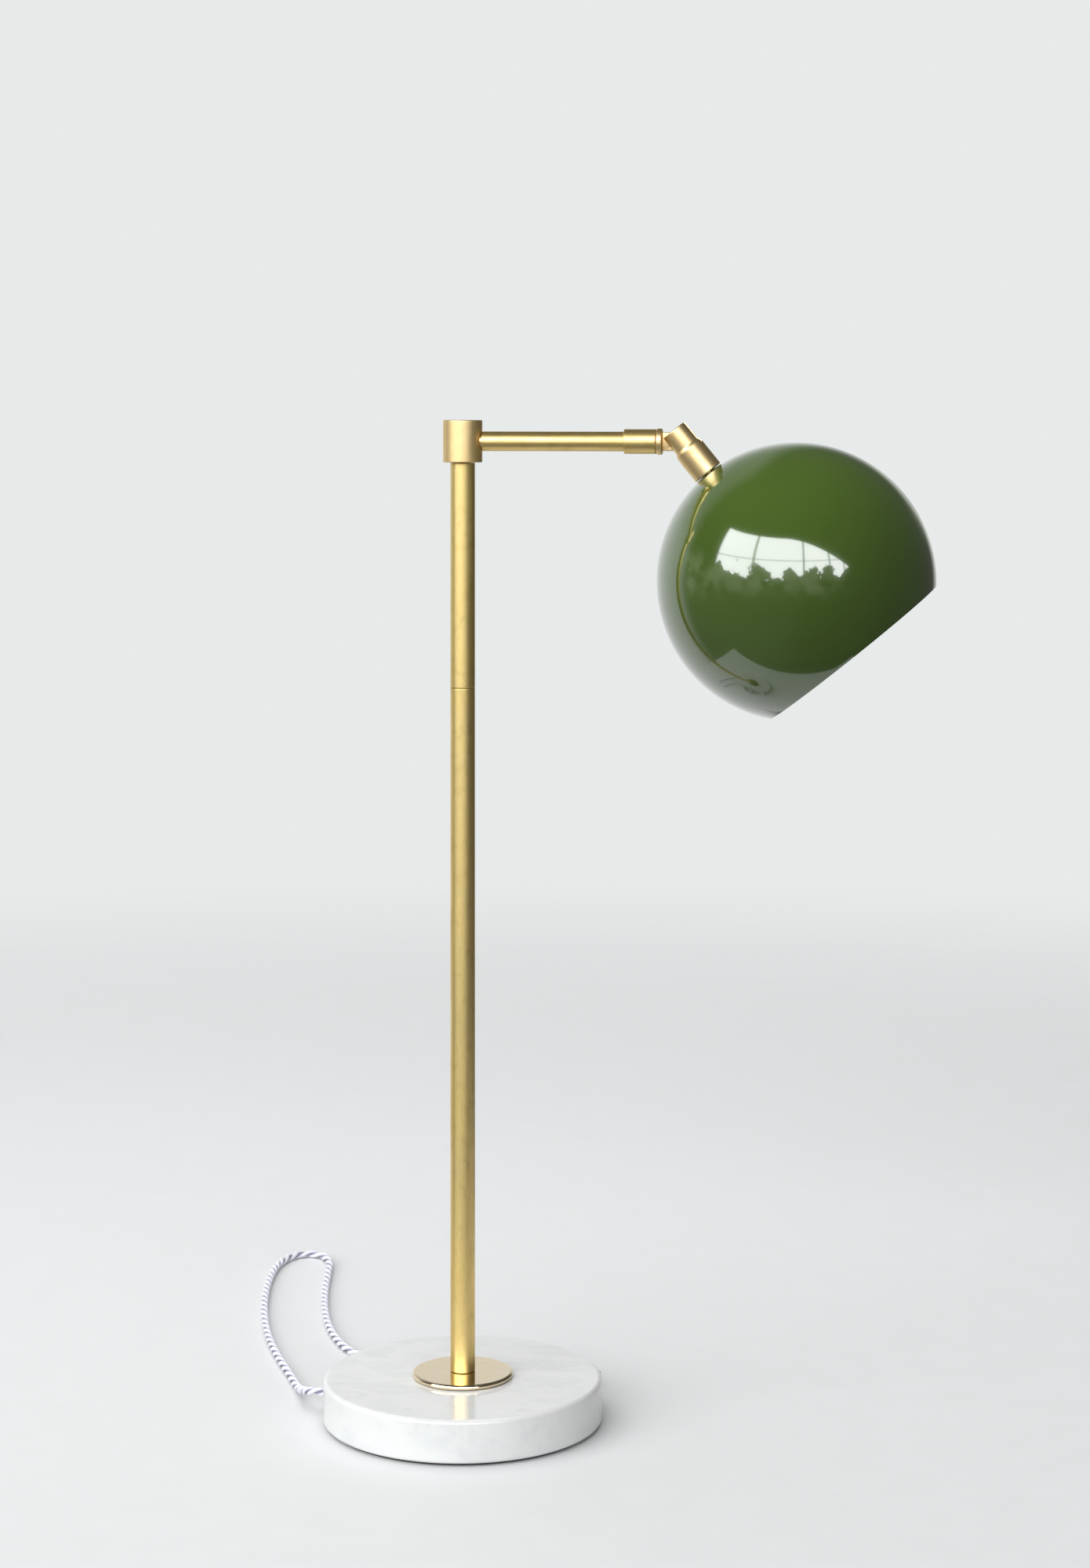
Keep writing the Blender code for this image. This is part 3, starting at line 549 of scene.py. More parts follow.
def build_base():
    radius, low, high = span("base_pad", UPRIGHT)
    turned_piece("base_pad_felt", rounded(
        [(0, high, 0), (radius, high, 0.0005), (radius, low, 0.0004), (0, low, 0)], closed=False,
    ), "root", "felt", "base_pad", sides=FINE)

    radius, low, high = span("marble_base", UPRIGHT)
    bush_radius = 0.0042
    bush_bore = 0.0031
    cord_line = Matrix.Translation((0, 0, CORD_EXIT_HEIGHT)) @ TO_X
    cord_hole = hole(bush_radius + GAP, 0.004 - RECESS_RADIUS, -radius - 0.005, cord_line, 48)
    turned_piece("marble_disc", rounded([
        (PIPE_HOLE, high, EASED), (radius, high, EDGE_ROUND), (radius, low, EDGE_ROUND * 0.7),
        (RECESS_RADIUS, low, 0.0008), (RECESS_RADIUS, RECESS_TOP, 0.001), (PIPE_HOLE, RECESS_TOP, EASED),
    ], steps=8), "root", "marble", "marble_base", cutters=[cord_hole], sides=2 * FINE)

    _, low, high = span("cord_grommet", cord_line)
    turned_piece("cord_bush", rounded([
        (bush_bore, high, 0.0004), (bush_radius, high, 0.0004), (bush_radius, low + CREASE, EASED),
        (bush_bore, low, 0.0006),
    ]), "root", "phenolic", "cord_grommet", cord_line, sides=48)

    radius, low, high = span("base_flange", UPRIGHT)
    half = (high - low) / 2
    rim = arc((radius - half, low + half), half, 90, -90, 14)
    turned_piece("flange_disc", [(PIPE_HOLE, high)] + rim + [(PIPE_HOLE, low)], "root", "polished_brass",
                 "base_flange", sides=FINE)


def build_stem():
    bore = 0.00695
    for node in ("stem_lower", "stem_upper"):
        radius, low, high = span(node, UPRIGHT)
        turned_piece(node + "_tube", rounded([
            (bore, high, 0.0001), (radius, high, EASED), (radius, low, EASED), (bore, low, 0.0001),
        ]), "root", "raw_brass", node)


# ---- Arm ----
def build_arm():
    collar_line = Matrix.Translation(JOINT_AT["arm_swivel"])
    radius, low, high = span("swivel_collar", collar_line)
    cap_radius, cap_low, cap_high = span("collar_cap", collar_line)
    seat = cap_radius + GAP
    cavity = 0.0090
    floor = low + 0.0041
    lip = cap_low - GAP
    turned_piece("collar_turned", rounded([
        (seat, high, CREASE), (radius, high, 0.0005), (radius, low, 0.0005),
        (PIPE_HOLE, low, CREASE), (PIPE_HOLE, floor, CREASE), (cavity, floor, 0.0004),
        (cavity, lip, CREASE), (seat, lip, 0),
    ]), "arm", "satin_brass", "swivel_collar", collar_line,
        cutters=[hole(PIPE_HOLE, 0.0160, 0.0060, ALONG_ARM)], sides=FINE)
    turned_piece("collar_lid", rounded([
        (0, cap_high, 0), (cap_radius, cap_high, EASED), (cap_radius, cap_low, CREASE), (0, cap_low, 0),
    ], closed=False), "arm", "satin_brass", "collar_cap", collar_line, sides=FINE)

    arm_radius, low, high = span("arm_tube", ALONG_ARM)
    turned_piece("arm_drawn_tube", rounded([
        (PIPE_HOLE, high, 0.0001), (arm_radius, high, CREASE), (arm_radius, low, 0.0004),
        (PIPE_HOLE, low, 0.0001),
    ]), "arm", "raw_brass", "arm_tube", ALONG_ARM)

    radius, low, high = span("knuckle_sleeve", ALONG_ARM)
    shoulder = high - 0.0078
    turned_piece("sleeve_turned", rounded([
        (PIPE_HOLE, high, CREASE), (radius, high, 0.0004), (radius, low, 0.0004),
        (arm_radius + GAP, low, CREASE), (arm_radius + GAP, shoulder, CREASE),
        (PIPE_HOLE, shoulder, CREASE),
    ]), "arm", "raw_brass", "knuckle_sleeve", ALONG_ARM)


# ---- Knuckle ----
SCREW_HOLE = 0.0022


def build_knuckle():
    radius, low, high = span("knuckle_ring", ALONG_ARM)
    turned_piece("knuckle_ring_turned", rounded([
        (PIPE_HOLE, high, CREASE), (radius, high, 0.0006), (radius, low, 0.0006), (PIPE_HOLE, low, CREASE),
    ]), "knuckle", "satin_brass", "knuckle_ring", ALONG_ARM)

    _, low, high = span("knuckle_tongue", ALONG_ARM)
    pivot_x = JOINT_AT["shade_tilt"].x
    radius = high - pivot_x
    shoulder = JOINT_AT["knuckle_roll"].x + 0.0022
    spigot = 0.00485
    bore = 0.0026
    blind_end = shoulder - 0.0009
    outline = arc((0, pivot_x), radius, 90, 0, 16) + rounded([
        (radius, shoulder + 0.002, 0), (radius, shoulder, EASED), (spigot, shoulder, 0),
        (spigot, low, 0.0004), (bore, low, EASED), (bore, blind_end, 0), (0, blind_end, 0),
    ], closed=False)[1:]
    half_width = 0.0021
    slab = 0.0060
    cutters = [
        block((0.0200, slab, 0.0220), (0, side * (half_width + slab / 2), shoulder + 0.0112), ALONG_ARM)
        for side in (-1, 1)
    ]
    cutters.append(hole(SCREW_HOLE, 0.008, -0.008, PIVOT_AXIS))
    turned_piece("tongue_milled", [(0, high)] + outline[1:], "knuckle", "satin_brass", "knuckle_tongue",
                 ALONG_ARM, cutters, edge=CREASE)
    for node in ("knuckle_washer_front", "knuckle_washer_rear"):
        radius, low, high = span(node, PIVOT_AXIS)
        turned_piece(node + "_disc", rounded([
            (SCREW_HOLE, high, 0.0001), (radius, high, 0.00015), (radius, low, 0.00015),
            (SCREW_HOLE, low, 0.0001),
        ], steps=3), "knuckle", "nylon", node, PIVOT_AXIS, sides=48)


# ---- Shade head ----
FORK_STEP = 0.1103                    # where the fork narrows to its barrel
SLOT_HALF_WIDTH = 0.0032
SLOT_FLOOR = 0.1074
FORK_RADIUS = 0.00885


def build_fork():
    barrel, low, high = span("knuckle_fork", SHADE_AXIS)
    wire_bore = 0.0030
    ledge = 0.1010
    slot_top = high + 0.0040
    slot = block((0.0300, 2 * SLOT_HALF_WIDTH, slot_top - SLOT_FLOOR),
                 (0, 0, (slot_top + SLOT_FLOOR) / 2), SHADE_AXIS)
    counterbore = 0.0036
    seat = 0.0058
    screw_hole = turned("hole", [
        (0, 0.0120), (counterbore, 0.0120), (counterbore, seat), (SCREW_HOLE, seat),
        (SCREW_HOLE, -0.0070), (0, -0.0070),
    ], "satin_brass", PIVOT_AXIS, sides=40)
    turned_piece("fork_milled", rounded([
        (wire_bore, high, CREASE), (FORK_RADIUS, high, 0.0007), (FORK_RADIUS, FORK_STEP + 0.0004, 0.0008),
        (barrel, FORK_STEP - 0.0016, 0.0016), (barrel, low, 0.0005), (PIPE_HOLE, low, CREASE),
        (PIPE_HOLE, ledge, 0), (wire_bore, ledge, 0),
    ]), "shade_head", "satin_brass", "knuckle_fork", SHADE_AXIS,
        [slot, screw_hole], edge=0.00025, sides=96)

    head, low, high = span("pivot_screw", PIVOT_AXIS)
    under_head = seat + GAP
    shank = 0.0019
    key = bmesh.new()
    corner = 0.0025 / math.sqrt(3)
    bmesh.ops.create_cone(key, cap_ends=True, segments=6, radius1=corner, radius2=corner, depth=0.0040)
    bmesh.ops.translate(key, vec=(0, 0, 0.0089), verts=key.verts)
    hex_key = into_scene("hex", mesh_of(key, "hex"), PIVOT_AXIS)
    turned_piece("pivot_screw_turned", rounded([
        (0, high, 0), (head, high, 0.0005), (head, under_head, CREASE), (shank, under_head, 0),
        (shank, low, 0.0004), (0, low, 0),
    ], closed=False), "shade_head", "zinc_steel", "pivot_screw", PIVOT_AXIS,
        [hex_key], sides=48)


def build_shade():
    """The spun globe. Its lower edge is turned in to a small round hem."""
    radius, rim, _ = span("shade", SHADE_AXIS)
    wall = 0.0010
    hem = wall / 2
    middle = radius - hem
    start = math.degrees(math.acos(PIPE_HOLE / radius))
    end = math.degrees(math.asin((rim + hem) / middle))
    hem_centre = (middle * math.cos(math.radians(end)), rim + hem)
    outline = (
        arc((0, 0), radius, start, end, 90)
        + arc(hem_centre, hem, end, end - 180, 8)[1:-1]
        + arc((0, 0), radius - wall, end, start, 90)
    )
    shade = turned_piece("shade_spun", outline, "shade_head", "green_enamel", "shade", SHADE_AXIS, sides=192)
    shade.data.materials.append(WHITE_ENAMEL)
    inside = radius - wall * 0.6
    for face in shade.data.polygons:
        centre = face.center
        if centre.length < inside and centre.z > rim + 2 * hem:
            face.material_index = 1

    disc, low, high = span("shade_washer", SHADE_AXIS)
    turned_piece("shade_washer_pressed", rounded([
        (PIPE_HOLE, high, CREASE), (disc, high, 0.0004), (disc, low, CREASE), (PIPE_HOLE, low, CREASE),
    ]), "shade_head", "zinc_steel", "shade_washer", SHADE_AXIS)


def build_shade_nut():
    """A six-sided nut with its corners turned off."""
    corner, low, high = span("shade_nut", SHADE_AXIS)
    flat = corner * math.cos(math.radians(30))
    chamfer = 0.0007
    steps = 5

    def six_sided(angle, radius, height):
        off_flat = (angle + math.pi / 6) % (math.pi / 3) - math.pi / 6
        return min(radius, flat / math.cos(off_flat))

    fall = [(flat + (corner - flat) * k / steps, chamfer * k / steps) for k in range(steps + 1)]
    outline = [(PIPE_HOLE, high)] + [(radius, high - down) for radius, down in fall]
    outline += [(radius, low + down) for radius, down in reversed(fall)] + [(PIPE_HOLE, low)]
    turned_piece("shade_nut_cut", outline, "shade_head", "zinc_steel", "shade_nut", SHADE_AXIS, sides=96,
                 reshape=six_sided, sharp=25)


def helix(pitch, depth, low, high):
    """Reshape for a rolled thread between two heights, fading in and out over half a turn."""
    def reshape(angle, radius, height):
        fade = min(1.0, max(0.0, (height - low) / (pitch / 2)), max(0.0, (high - height) / (pitch / 2)))
        wave = math.cos(2 * math.pi * (height / pitch) - angle)
        return radius + depth * fade * (wave - 1) / 2
    return reshape


def rows(radius, top, bottom, count):
    """Points down a straight side, for a reshape to work on."""
    return [(radius, top + (bottom - top) * k / count) for k in range(count + 1)]


THREAD_PITCH = 0.00363                # of an E26 lamp cap


def build_socket():
    wall = 0.0010
    radius, low, high = span("socket_cap", SHADE_AXIS)
    bends = [(0.0085, high), (0.0118, 0.0772), (0.0152, 0.0735)]
    ceiling = 0.0784
    turned_piece("socket_cap_spun", rounded(
        [(PIPE_HOLE, high, CREASE)] + [(r, h, 0.0020) for r, h in bends]
        + [(radius, 0.0690, 0.0035), (radius, low, EASED), (radius - wall, low, EASED),
           (radius - wall, 0.0688, 0.0025), (0.0144, 0.0723, 0.0015), (0.0110, 0.0762, 0.0015),
           (0.0083, ceiling, 0.001), (PIPE_HOLE, ceiling, 0)],
    ), "shade_head", "satin_brass", "socket_cap", SHADE_AXIS)

    radius, low, high = span("socket_shell", SHADE_AXIS)
    waist = radius - 0.0004
    at_switch = PIVOT_TO_SPHERE - (JOINT_AT["shade_tilt"] - JOINT_AT["switch_turn"]).length
    switch_line = SHADE_AXIS @ Matrix.Translation((0, 0, at_switch)) @ QUARTER_X
    turned_piece("socket_shell_spun", rounded([
        (radius - wall, high, EASED), (radius, high, EASED), (radius, high - 0.0020, EASED),
        (waist, high - 0.0028, EASED), (waist, low + 0.0036, EASED),
        (radius, low + 0.0028, EASED), (radius, low, 0.0004), (radius - wall, low, 0.0004),
    ]), "shade_head", "satin_brass", "socket_shell", SHADE_AXIS,
        [hole(0.0022, 0.0200, 0.0060, switch_line)], sides=FINE)

    radius, low, high = span("socket_liner", SHADE_AXIS)
    inside = 0.0143
    turned_piece("socket_liner_card", rounded([
        (inside, high, 0.0001), (radius, high, CREASE), (radius, low, EASED), (inside, low, EASED),
    ]), "shade_head", "fibre_liner", "socket_liner", SHADE_AXIS)

    radius, low, high = span("screw_shell", SHADE_AXIS)
    inside = 0.0134
    count = 44
    turned_piece(
        "screw_shell_rolled", rows(radius, high, low, count) + rows(inside, low, high, count),
        "shade_head", "polished_brass", "screw_shell", SHADE_AXIS,
        reshape=helix(THREAD_PITCH, 0.0004, low, high), sharp=60,
    )


def build_bulb():
    radius, tip, neck_top = span("bulb_glass", SHADE_AXIS)
    wall = 0.0008
    middle = tip + radius
    join_at = 35                      # degrees up the globe, where the neck starts
    neck = [(0.0166, -0.0008), (0.0144, 0.0055), (0.0132, 0.0120), (0.0128, neck_top)]
    first = (radius * math.cos(math.radians(join_at)), middle + radius * math.sin(math.radians(join_at)))
    side = smooth_outline([first] + neck, 6)
    outer = list(reversed(side)) + arc((0, middle), radius, join_at, -90, 48)[1:]
    inner = [(max(r - wall, 0), h if h > tip + 0.002 else h + wall) for r, h in outer[:-1]]
    outline = [(0, tip + wall), *reversed(inner), *outer[:-1], (0, tip)]
    turned_piece("bulb_frosted", outline, "shade_head", "frosted_glass", "bulb_glass", SHADE_AXIS, sides=FINE)

    radius, low, high = span("bulb_base", SHADE_AXIS)
    top_of_thread = 0.0385
    thread_ends = low + 0.0016
    count = 52
    outline = [(0, high), (0.0030, high), (0.0042, high - 0.0004), (0.0046, high - 0.0012),
               (0.0085, 0.0424), (0.0112, 0.0408), (0.0126, 0.0394)]
    outline += rows(radius, top_of_thread, thread_ends, count)
    outline += [(radius, low + EASED), (radius - EASED, low), (0, low)]
    turned_piece("bulb_cap_rolled", outline, "shade_head", "zinc_steel", "bulb_base", SHADE_AXIS,
                 reshape=helix(THREAD_PITCH, 0.0005, thread_ends, top_of_thread), sharp=60)


def smooth_outline(points, steps):
    """Catmull-Rom through flat points."""
    return [tuple(point[:2]) for point in smooth_path([(x, y, 0) for x, y in points], steps)]


def build_knob():
    radius, low, high = span("switch_knob", KNOB_AXIS)
    shaft = 0.0018
    skirt = 0.0182
    ribs = 18

    def ribbed(angle, r, height):
        on_grip = r > radius - 0.0006 and skirt + 0.001 < height < high - 0.0008
        return r - (0.00035 * (1 - abs(math.cos(ribs * angle / 2)) ** 0.7) if on_grip else 0)

    outline = rounded([
        (0, high - 0.0002, 0), (0.0030, high - 0.0002, 0.0004), (0.0034, high, CREASE),
        (radius, high, 0.0010), (radius, skirt + 0.0008, EASED), (radius - 0.0010, skirt, EASED),
        (shaft, skirt, 0), (shaft, low, EASED), (0, low, 0),
    ], closed=False)
    turned_piece("switch_knob_moulded", outline, "switch", "phenolic", "switch_knob", KNOB_AXIS,
                 sides=ribs * 10, reshape=ribbed)


# ---- Cord ----
def smooth_path(route, pieces_or_spacing):
    """Points on a smooth curve through a route: a whole number of pieces for each stretch, or
    points about a spacing apart."""
    route = [Vector(point) for point in route]
    ends = [2 * route[0] - route[1]] + route + [2 * route[-1] - route[-2]]
    path = []
    for i in range(1, len(ends) - 2):
        before, here, there, after = ends[i - 1:i + 3]
        pieces = pieces_or_spacing
        if pieces_or_spacing < 1:
            pieces = max(1, round((there - here).length / pieces_or_spacing))
        for k in range(pieces):
            t = k / pieces
            path.append(
                0.5 * (
                    2 * here
                    + (there - before) * t
                    + (2 * before - 5 * here + 4 * there - after) * t * t
                    + (3 * here - before - 3 * there + after) * t * t * t
                )
            )
    path.append(route[-1])
    return path


CORD_RADIUS = 0.0028
COIL_CENTRE = (-0.0170, 0.1257)
COIL_HEIGHT = 0.0037                  # middle of the bottom layer's turns
TURN_RADII = (0.0332, 0.0276, 0.0220, 0.0164, 0.0192)   # four turns below, and one on top

# The cord's way from the base to its coil, and from the coil to its plug.
LEAD_ROUTE = [
    (-0.0903, 0.0000, 0.0145), (-0.0966, 0.0014, 0.0142), (-0.1028, 0.0068, 0.0126),
    (-0.1080, 0.0167, 0.0096), (-0.1123, 0.0282, 0.0062), (-0.1178, 0.0426, 0.0036),
    (-0.1245, 0.0588, 0.0030), (-0.1340, 0.0808, 0.0030), (-0.1458, 0.1084, 0.0030),
    (-0.1591, 0.1430, 0.0030), (-0.1717, 0.1837, 0.0030), (-0.1817, 0.2247, 0.0030),
    (-0.1895, 0.2670, 0.0030), (-0.1946, 0.3087, 0.0030), (-0.1947, 0.3390, 0.0030),
    (-0.1883, 0.3590, 0.0030), (-0.1776, 0.3655, 0.0030), (-0.1657, 0.3595, 0.0030),
    (-0.1577, 0.3419, 0.0030), (-0.1530, 0.3143, 0.0030), (-0.1479, 0.2807, 0.0030),
    (-0.1419, 0.2472, 0.0030), (-0.1344, 0.2139, 0.0030), (-0.1249, 0.1809, 0.0030),
    (-0.1126, 0.1503, 0.0030), (-0.0976, 0.1250, 0.0031), (-0.0788, 0.1085, 0.0033),
    (-0.0560, 0.1005, 0.0034),
]
TAIL_ROUTE = [
    (0.0026, 0.1092, 0.0097), (0.0108, 0.1106, 0.0100), (0.0189, 0.1105, 0.0090),
    (0.0248, 0.1079, 0.0058), (0.0289, 0.1042, 0.0043), (0.0323, 0.1011, 0.0054),
    (0.0359, 0.0986, 0.0070),
]


def ease(value, start, length):
    t = min(max((value - start) / length, 0.0), 1.0)
    return t * t * (3 - 2 * t)


def coil_route():
    """Four turns lie side by side, each stepping in over a short arc, and the last climbs onto
    them. Angles are in degrees."""
    first, last, step = 247.7, 2077.7, 15.0
    step_in = 332.7
    step_arc = 70.0
    points = []
    angle = first
    while angle <= last:
        radius = TURN_RADII[0]
        for turn, (here, there) in enumerate(zip(TURN_RADII, TURN_RADII[1:])):
            radius += (there - here) * ease(angle, step_in + 360 * (turn + 1), step_arc)
        height = COIL_HEIGHT + 2 * CORD_RADIUS * ease(angle, 1697.7, 90)
        height += -0.0007 * ease(angle, 1842.7, 40) + 0.0007 * ease(angle, 2017.7, 50)
        turned_to = math.radians(angle)
        points.append((COIL_CENTRE[0] + radius * math.cos(turned_to),
                       COIL_CENTRE[1] + radius * math.sin(turned_to), height))
        angle += step
    return points


def evenly(path, spacing):
    """The same path with points a spacing apart."""
    points = np.array([tuple(point) for point in path])
    reach = np.concatenate([[0.0], np.cumsum(np.linalg.norm(np.diff(points, axis=0), axis=1))])
    count = int(round(reach[-1] / spacing))
    at = np.linspace(0.0, reach[-1], count + 1)
    return np.stack([np.interp(at, reach, points[:, axis]) for axis in range(3)], axis=1), reach[-1]


STRAND_RADIUS = 0.00138
STRAND_OFFSET = 0.00140
TWIST_PITCH = 0.0220


def strand_points(path, phase):
    """One strand's centreline, wound about the cord's, the way out from the cord at each point,
    and the distance along it."""
    tangents = np.gradient(path, axis=0)
    tangents /= np.linalg.norm(tangents, axis=1)[:, None]
    up = np.array((0.0, 0.0, 1.0))
    across = np.cross(tangents, up)
    across /= np.linalg.norm(across, axis=1)[:, None]
    over = np.cross(across, tangents)
    steps = np.linalg.norm(np.diff(path, axis=0), axis=1)
    reach = np.concatenate([[0.0], np.cumsum(steps)])
    wander = 0.6 * np.sin(reach / 0.047) + 0.4 * np.sin(reach / 0.0293 + 1.0)
    twist = 2 * math.pi * reach / TWIST_PITCH + wander + phase
    outward = np.cos(twist)[:, None] * across + np.sin(twist)[:, None] * over
    return path + STRAND_OFFSET * outward, outward, reach


def sweep(bm, uv_layer, centre, outward, reach, radius, sides):
    """A round tube along a line of points, closed at both ends, with its own UVs."""
    tangents = np.gradient(centre, axis=0)
    tangents /= np.linalg.norm(tangents, axis=1)[:, None]
    over = np.cross(outward, tangents)
    over /= np.linalg.norm(over, axis=1)[:, None]
    side = np.cross(tangents, over)
    angles = 2 * math.pi * np.arange(sides) / sides
    rings = []
    for point, a, b in zip(centre, side, over):
        ring = point + radius * (np.cos(angles)[:, None] * a + np.sin(angles)[:, None] * b)
        rings.append([bm.verts.new(tuple(p)) for p in ring])
    for i in range(len(rings) - 1):
        for k in range(sides):
            after = (k + 1) % sides
            face = bm.faces.new((rings[i][k], rings[i][after], rings[i + 1][after], rings[i + 1][k]))
            places = ((k, i), (k + 1, i), (k + 1, i + 1), (k, i + 1))
            for loop, (u, v) in zip(face.loops, places):
                loop[uv_layer].uv = (u / sides, reach[v])
    close_ends(bm, rings)


def build_cord():
    path, length = evenly(smooth_path(LEAD_ROUTE + coil_route() + TAIL_ROUTE, 8), 0.0010)
    bm = bmesh.new()
    uv_layer = bm.loops.layers.uv.new("UVMap")
    for phase in (0.0, math.pi):
        sweep(bm, uv_layer, *strand_points(path, phase), STRAND_RADIUS, 12)
    mesh = mesh_of(bm, "cord_twisted_pair", face_out=True)
    cord = keep("cord_twisted_pair", mesh, "cloth_cord", sharp=60)
    join_body(cord, "root", "cloth_cord", "cord_lead", "cord_coil", "cord_tail")
    return cord, path, length


PLUG_REAR = Vector((0.0372, 0.0979, 0.0))
PLUG_HEADING = math.radians(-29.2)
PLUG_LENGTH = 0.0280
PLUG_WIDTH = 0.0240
PLUG_HEIGHT = 0.0138
BLADE_SPREAD = 0.00635


def build_plug():
    """A moulded plug with a narrow, ribbed grip, two blades and a flat face."""
    line = Matrix.Translation(PLUG_REAR) @ Matrix.Rotation(PLUG_HEADING, 4, "Z")
    bm = bmesh.new()
    sides = 56
    sections = 44
    rings = []
    middle = PLUG_HEIGHT / 2 + 0.0002
    for i in range(sections + 1):
        t = i / sections
        swell = ease(t, 0.18, 0.55)
        width = PLUG_WIDTH * (0.45 + 0.55 * swell)
        height = PLUG_HEIGHT * (0.70 + 0.30 * swell)
        edge = min(t, 1 - t) * PLUG_LENGTH
        pull = 0.0014 - math.sqrt(max(0.0, 0.0014 ** 2 - max(0.0, 0.0014 - edge) ** 2))
        rib = 0.0006 * max(0.0, math.sin(2 * math.pi * (t - 0.22) / 0.085)) if 0.22 < t < 0.56 else 0
        ring = []
        for k in range(sides):
            angle = 2 * math.pi * k / sides
            c, s = math.cos(angle), math.sin(angle)
            power = 0.42
            y = (width / 2 - pull - rib * abs(c)) * math.copysign(abs(c) ** power, c)
            z = (height / 2 - pull - rib * abs(s)) * math.copysign(abs(s) ** power, s)
            ring.append(bm.verts.new((0.0003 + t * PLUG_LENGTH, y, middle + z)))
        rings.append(ring)
    bridge(bm, rings)
    close_ends(bm, rings)
    body = keep("plug_moulded", mesh_of(bm, "plug_moulded", face_out=True), "white_plastic", line, sharp=50)
    join_body(body, "root", "white_plastic", "plug_body")
    pieces = [body]
    start = PLUG_LENGTH + 0.0006
    for side, node in ((-1, "plug_blade_right"), (1, "plug_blade_left")):
        bm = bmesh.new()
        bmesh.ops.create_cube(bm, size=1.0)
        bmesh.ops.scale(bm, vec=(0.0170, 0.0015, 0.00635), verts=bm.verts)
        bmesh.ops.translate(bm, vec=(start + 0.0085, side * BLADE_SPREAD, middle - 0.0002), verts=bm.verts)
        bmesh.ops.bevel(bm, geom=bm.edges[:], offset=0.0005, segments=4, profile=0.5, affect="EDGES")
        blade = keep(node + "_pressed", mesh_of(bm, node + "_pressed"), "polished_brass", line)
        hole_line = line @ Matrix.Translation((start + 0.0130, 0, middle)) @ QUARTER_X
        cut_out(blade, [hole(0.0016, 0.0100, -0.0100, hole_line)])
        join_body(blade, "root", "polished_brass", node)
        pieces.append(blade)
    return pieces


def build_tie():
    """A soft strap about the coil's turns, with its loose end lying on top."""
    angle = math.radians(187.7)
    line = Matrix.Translation((*COIL_CENTRE, 0)) @ Matrix.Rotation(angle, 4, "Z")
    left = TURN_RADII[3] - CORD_RADIUS - 0.0006
    right = TURN_RADII[0] + CORD_RADIUS + 0.0003
    low = 0.0006
    low_top = 0.0066
    step = 0.0223
    high_top = 0.0119
    skin = 0.0005
    width = 0.0050
    corners = [(left, low), (right, low), (right, low_top), (step, high_top), (left, high_top)]
    inner = rounded([(x, z, 0.0016) for x, z in corners], steps=6)
    grown = [(left - skin, low - skin), (right + skin, low - skin), (right + skin, low_top + skin),
             (step + skin, high_top + skin), (left - skin, high_top + skin)]
    outer = rounded([(x, z, 0.0021) for x, z in grown], steps=6)
    bm = bmesh.new()
    loops = []
    across = [(-1.0, 1.0), (-0.94, 0.0), (0.94, 0.0), (1.0, 1.0)]
    for outline, other, flip in ((outer, inner, False), (inner, outer, True)):
        for side, pull in (list(reversed(across)) if flip else across):
            row = []
            for (x, z), (ox, oz) in zip(outline, other):
                amount = 0.2 * pull
                row.append(bm.verts.new((x + (ox - x) * amount, side * width / 2, z + (oz - z) * amount)))
            loops.append(row)
    bridge(bm, loops + loops[:1])
    strap = keep("coil_strap", mesh_of(bm, "coil_strap", face_out=True), "tie_band", line)
    return join_body(strap, "root", "tie_band", "coil_tie")


# ---- CAD nodes that stay ----
def dress_cad_nodes():
    """The hidden fasteners, bushings and wires keep their CAD shape and take a finish."""
    for part in frame["record"]["subparts"]:
        node = frame["nodes"][part["node"]]
        if node.hide_render:
            continue
        node.data.materials.clear()
        node.data.materials.append(LOOKS[part["material_slot"]])


# ---- Floor and light ----
TABLE_X = (-0.32, 0.63)               # what the lamp sees of the pale floor, in the view's frame
TABLE_Y = (-0.21, 0.40)


def floor_look():
    material, tree, shader = new_look("pale_floor", IOR=1.35, Specular_IOR_Level=0.12)
    grain = noise(tree, EVEN, 30, 3)
    wire_up(tree, shader,
            Base_Color=ramp(tree, grain, (0.3, (0.635, 0.64, 0.645)), (0.7, (0.65, 0.655, 0.66))),
            Roughness=between(tree, grain, 0.3, 0.7, 0.42, 0.5))
    where = add(tree, "NewGeometry").outputs["Position"]
    distance = add(tree, "VectorMath", {0: where}, operation="LENGTH").outputs["Value"]
    clear = add(tree, "BsdfTransparent").outputs[0]
    fade = add(tree, "MixShader", {0: between(tree, distance, 0.9, 2.4), 1: shader.outputs[0], 2: clear})
    tree.links.new(fade.outputs[0], tree.nodes["Material Output"].inputs["Surface"])
    return material


def build_floor():
    """One pale plane in five pieces. Only the piece under the lamp is seen in reflections, so
    that the metal and the enamel have something dark to show."""
    material = floor_look()
    turn = Matrix.Rotation(VIEW_TURN, 4, "Z")
    reach = 3.0
    left, right = TABLE_X
    near, far = TABLE_Y
    pieces = (
        ("floor_table", left, right, near, far),
        ("floor_near", -reach, reach, -reach, near),
        ("floor_far", -reach, reach, far, reach),
        ("floor_left", -reach, left, near, far),
        ("floor_right", right, reach, near, far),
    )
    for name, x0, x1, y0, y1 in pieces:
        mesh = bpy.data.meshes.new(name)
        corners = [(x0, y0, 0), (x1, y0, 0), (x1, y1, 0), (x0, y1, 0)]
        mesh.from_pydata([turn @ Vector(corner) for corner in corners], [], [(0, 1, 2, 3)])
        mesh.materials.append(material)
        floor = into_scene(name, mesh)
        floor.visible_glossy = name == "floor_table"
        floor.visible_diffuse = name == "floor_table"


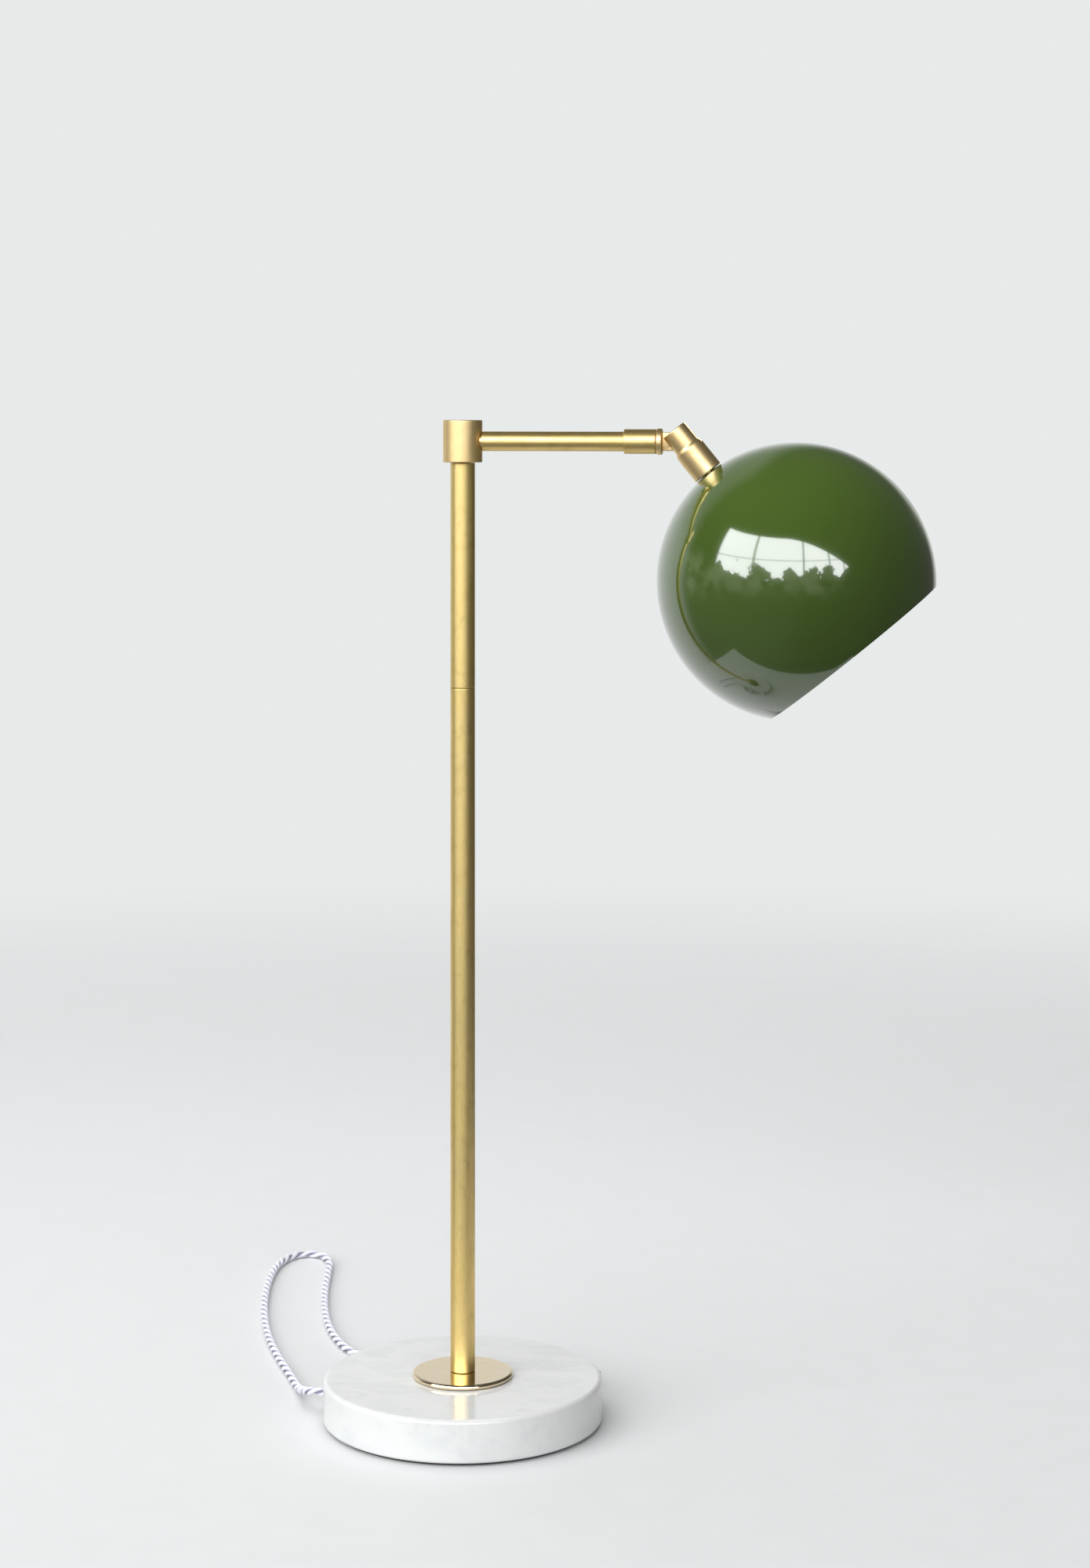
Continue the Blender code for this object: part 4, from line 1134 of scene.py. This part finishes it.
def window_light(tree, facing, azimuth, height):
    """1 inside the row of windows, less on its bars, and 0 outside: the top falls away to the
    right, and leaves cover the foot."""
    leaves = noise(tree, facing, 4.2, 3, 0.5)
    bottom = between(tree, leaves, 0.36, 0.66, 3.0, 17.0)
    past = calc(tree, "MAXIMUM", calc(tree, "ADD", azimuth, 16.0), 0.0)
    top = calc(tree, "SUBTRACT", 39.0, times(tree, times(tree, past, past), 0.0078))
    light = times(tree, between(tree, calc(tree, "SUBTRACT", height, bottom), -0.5, 2.5),
                 between(tree, calc(tree, "SUBTRACT", top, height), 0.0, 1.5))
    light = times(tree, light, between(tree, azimuth, -77.0, -74.0))
    light = times(tree, light, between(tree, azimuth, 46.0, 42.0))
    for place, width in ((-41.0, 1.5), (2.0, 1.1), (24.0, 0.9), (36.0, 0.7)):
        off = calc(tree, "ABSOLUTE", calc(tree, "SUBTRACT", azimuth, place))
        light = times(tree, light, between(tree, off, width * 0.6, width * 1.1, 0.35, 1.0))
    off = calc(tree, "ABSOLUTE", calc(tree, "SUBTRACT", height, 20.0))
    return times(tree, light, between(tree, off, 0.4, 0.8, 0.6, 1.0)), leaves


def build_light():
    """Soft light from a wide row of tall windows in front and to the left, a pale wall behind,
    and a dim room. The camera itself sees an even pale background."""
    world = bpy.data.worlds.new("studio")
    bpy.context.scene.world = world
    world.use_nodes = True
    tree = world.node_tree
    tree.nodes.clear()
    direction = add(tree, "TexCoord").outputs["Generated"]
    facing = add(tree, "VectorRotate", {"Vector": direction, "Angle": -VIEW_TURN}, rotation_type="Z_AXIS")
    x, y, z = add(tree, "SeparateXYZ", {"Vector": facing.outputs[0]}).outputs
    azimuth = calc(tree, "DEGREES", calc(tree, "ARCTAN2", x, times(tree, y, -1.0)))
    height = calc(tree, "DEGREES", calc(tree, "ARCSINE", z))
    windows, leaves = window_light(tree, facing.outputs[0], azimuth, height)

    veil = times(tree, between(tree, x, 0.25, -0.45), between(tree, height, 24.0, 2.0))
    room = mixed(tree, veil, (0.085, 0.085, 0.085), (0.15, 0.155, 0.15))
    garden = times(tree, between(tree, height, -14.0, 2.0), between(tree, height, 22.0, 8.0))
    garden = times(tree, garden, between(tree, x, 0.7, 0.2))
    garden = times(tree, garden, between(tree, leaves, 0.38, 0.62))
    view = mixed(tree, garden, room, (0.60, 0.66, 0.50))
    wall_starts = between(tree, x, -0.42, 0.22, 0.22, 0.80)
    wall = times(tree, between(tree, calc(tree, "SUBTRACT", y, wall_starts), 0.0, 0.28),
                between(tree, z, 0.15, 0.65, 1.0, 0.35))
    behind = mixed(tree, wall, view, (0.80, 0.82, 0.82))
    shine = between(tree, add(tree, "LightPath").outputs["Is Glossy Ray"], 0.0, 1.0, 1.0, 1.48)
    lit = mixed(tree, windows, behind,
                add(tree, "VectorMath", {0: (5.2, 5.33, 5.38), "Scale": shine}, operation="SCALE").outputs[0])
    surround = add(tree, "Background", {"Color": lit})
    backdrop = add(tree, "Background", {"Color": (0.80, 0.825, 0.82, 1)})
    seen = add(tree, "LightPath").outputs["Is Camera Ray"]
    both = add(tree, "MixShader", {0: seen, 1: surround.outputs[0], 2: backdrop.outputs[0]})
    output = add(tree, "OutputWorld")
    tree.links.new(both.outputs[0], output.inputs["Surface"])

    ceiling = bpy.data.lights.new("ceiling_bounce", "AREA")
    ceiling.energy = 64.0
    ceiling.size = 3.0
    lamp = into_scene("ceiling_bounce", ceiling)
    lamp.location = Matrix.Rotation(VIEW_TURN, 4, "Z") @ Vector((-0.5, 0.0, 2.4))
    lamp.rotation_euler = (-lamp.location).to_track_quat("-Z", "Y").to_euler()
    lamp.visible_glossy = False
    lamp.visible_camera = False


# ---- Everything ----
build_camera()
cord, cord_path, cord_length = build_cord()
plug = build_plug()
strap = build_tie()
build_base()
build_stem()
build_arm()
build_knuckle()
build_fork()
build_shade()
build_shade_nut()
build_socket()
build_bulb()
build_knob()
dress_cad_nodes()
build_floor()
build_light()
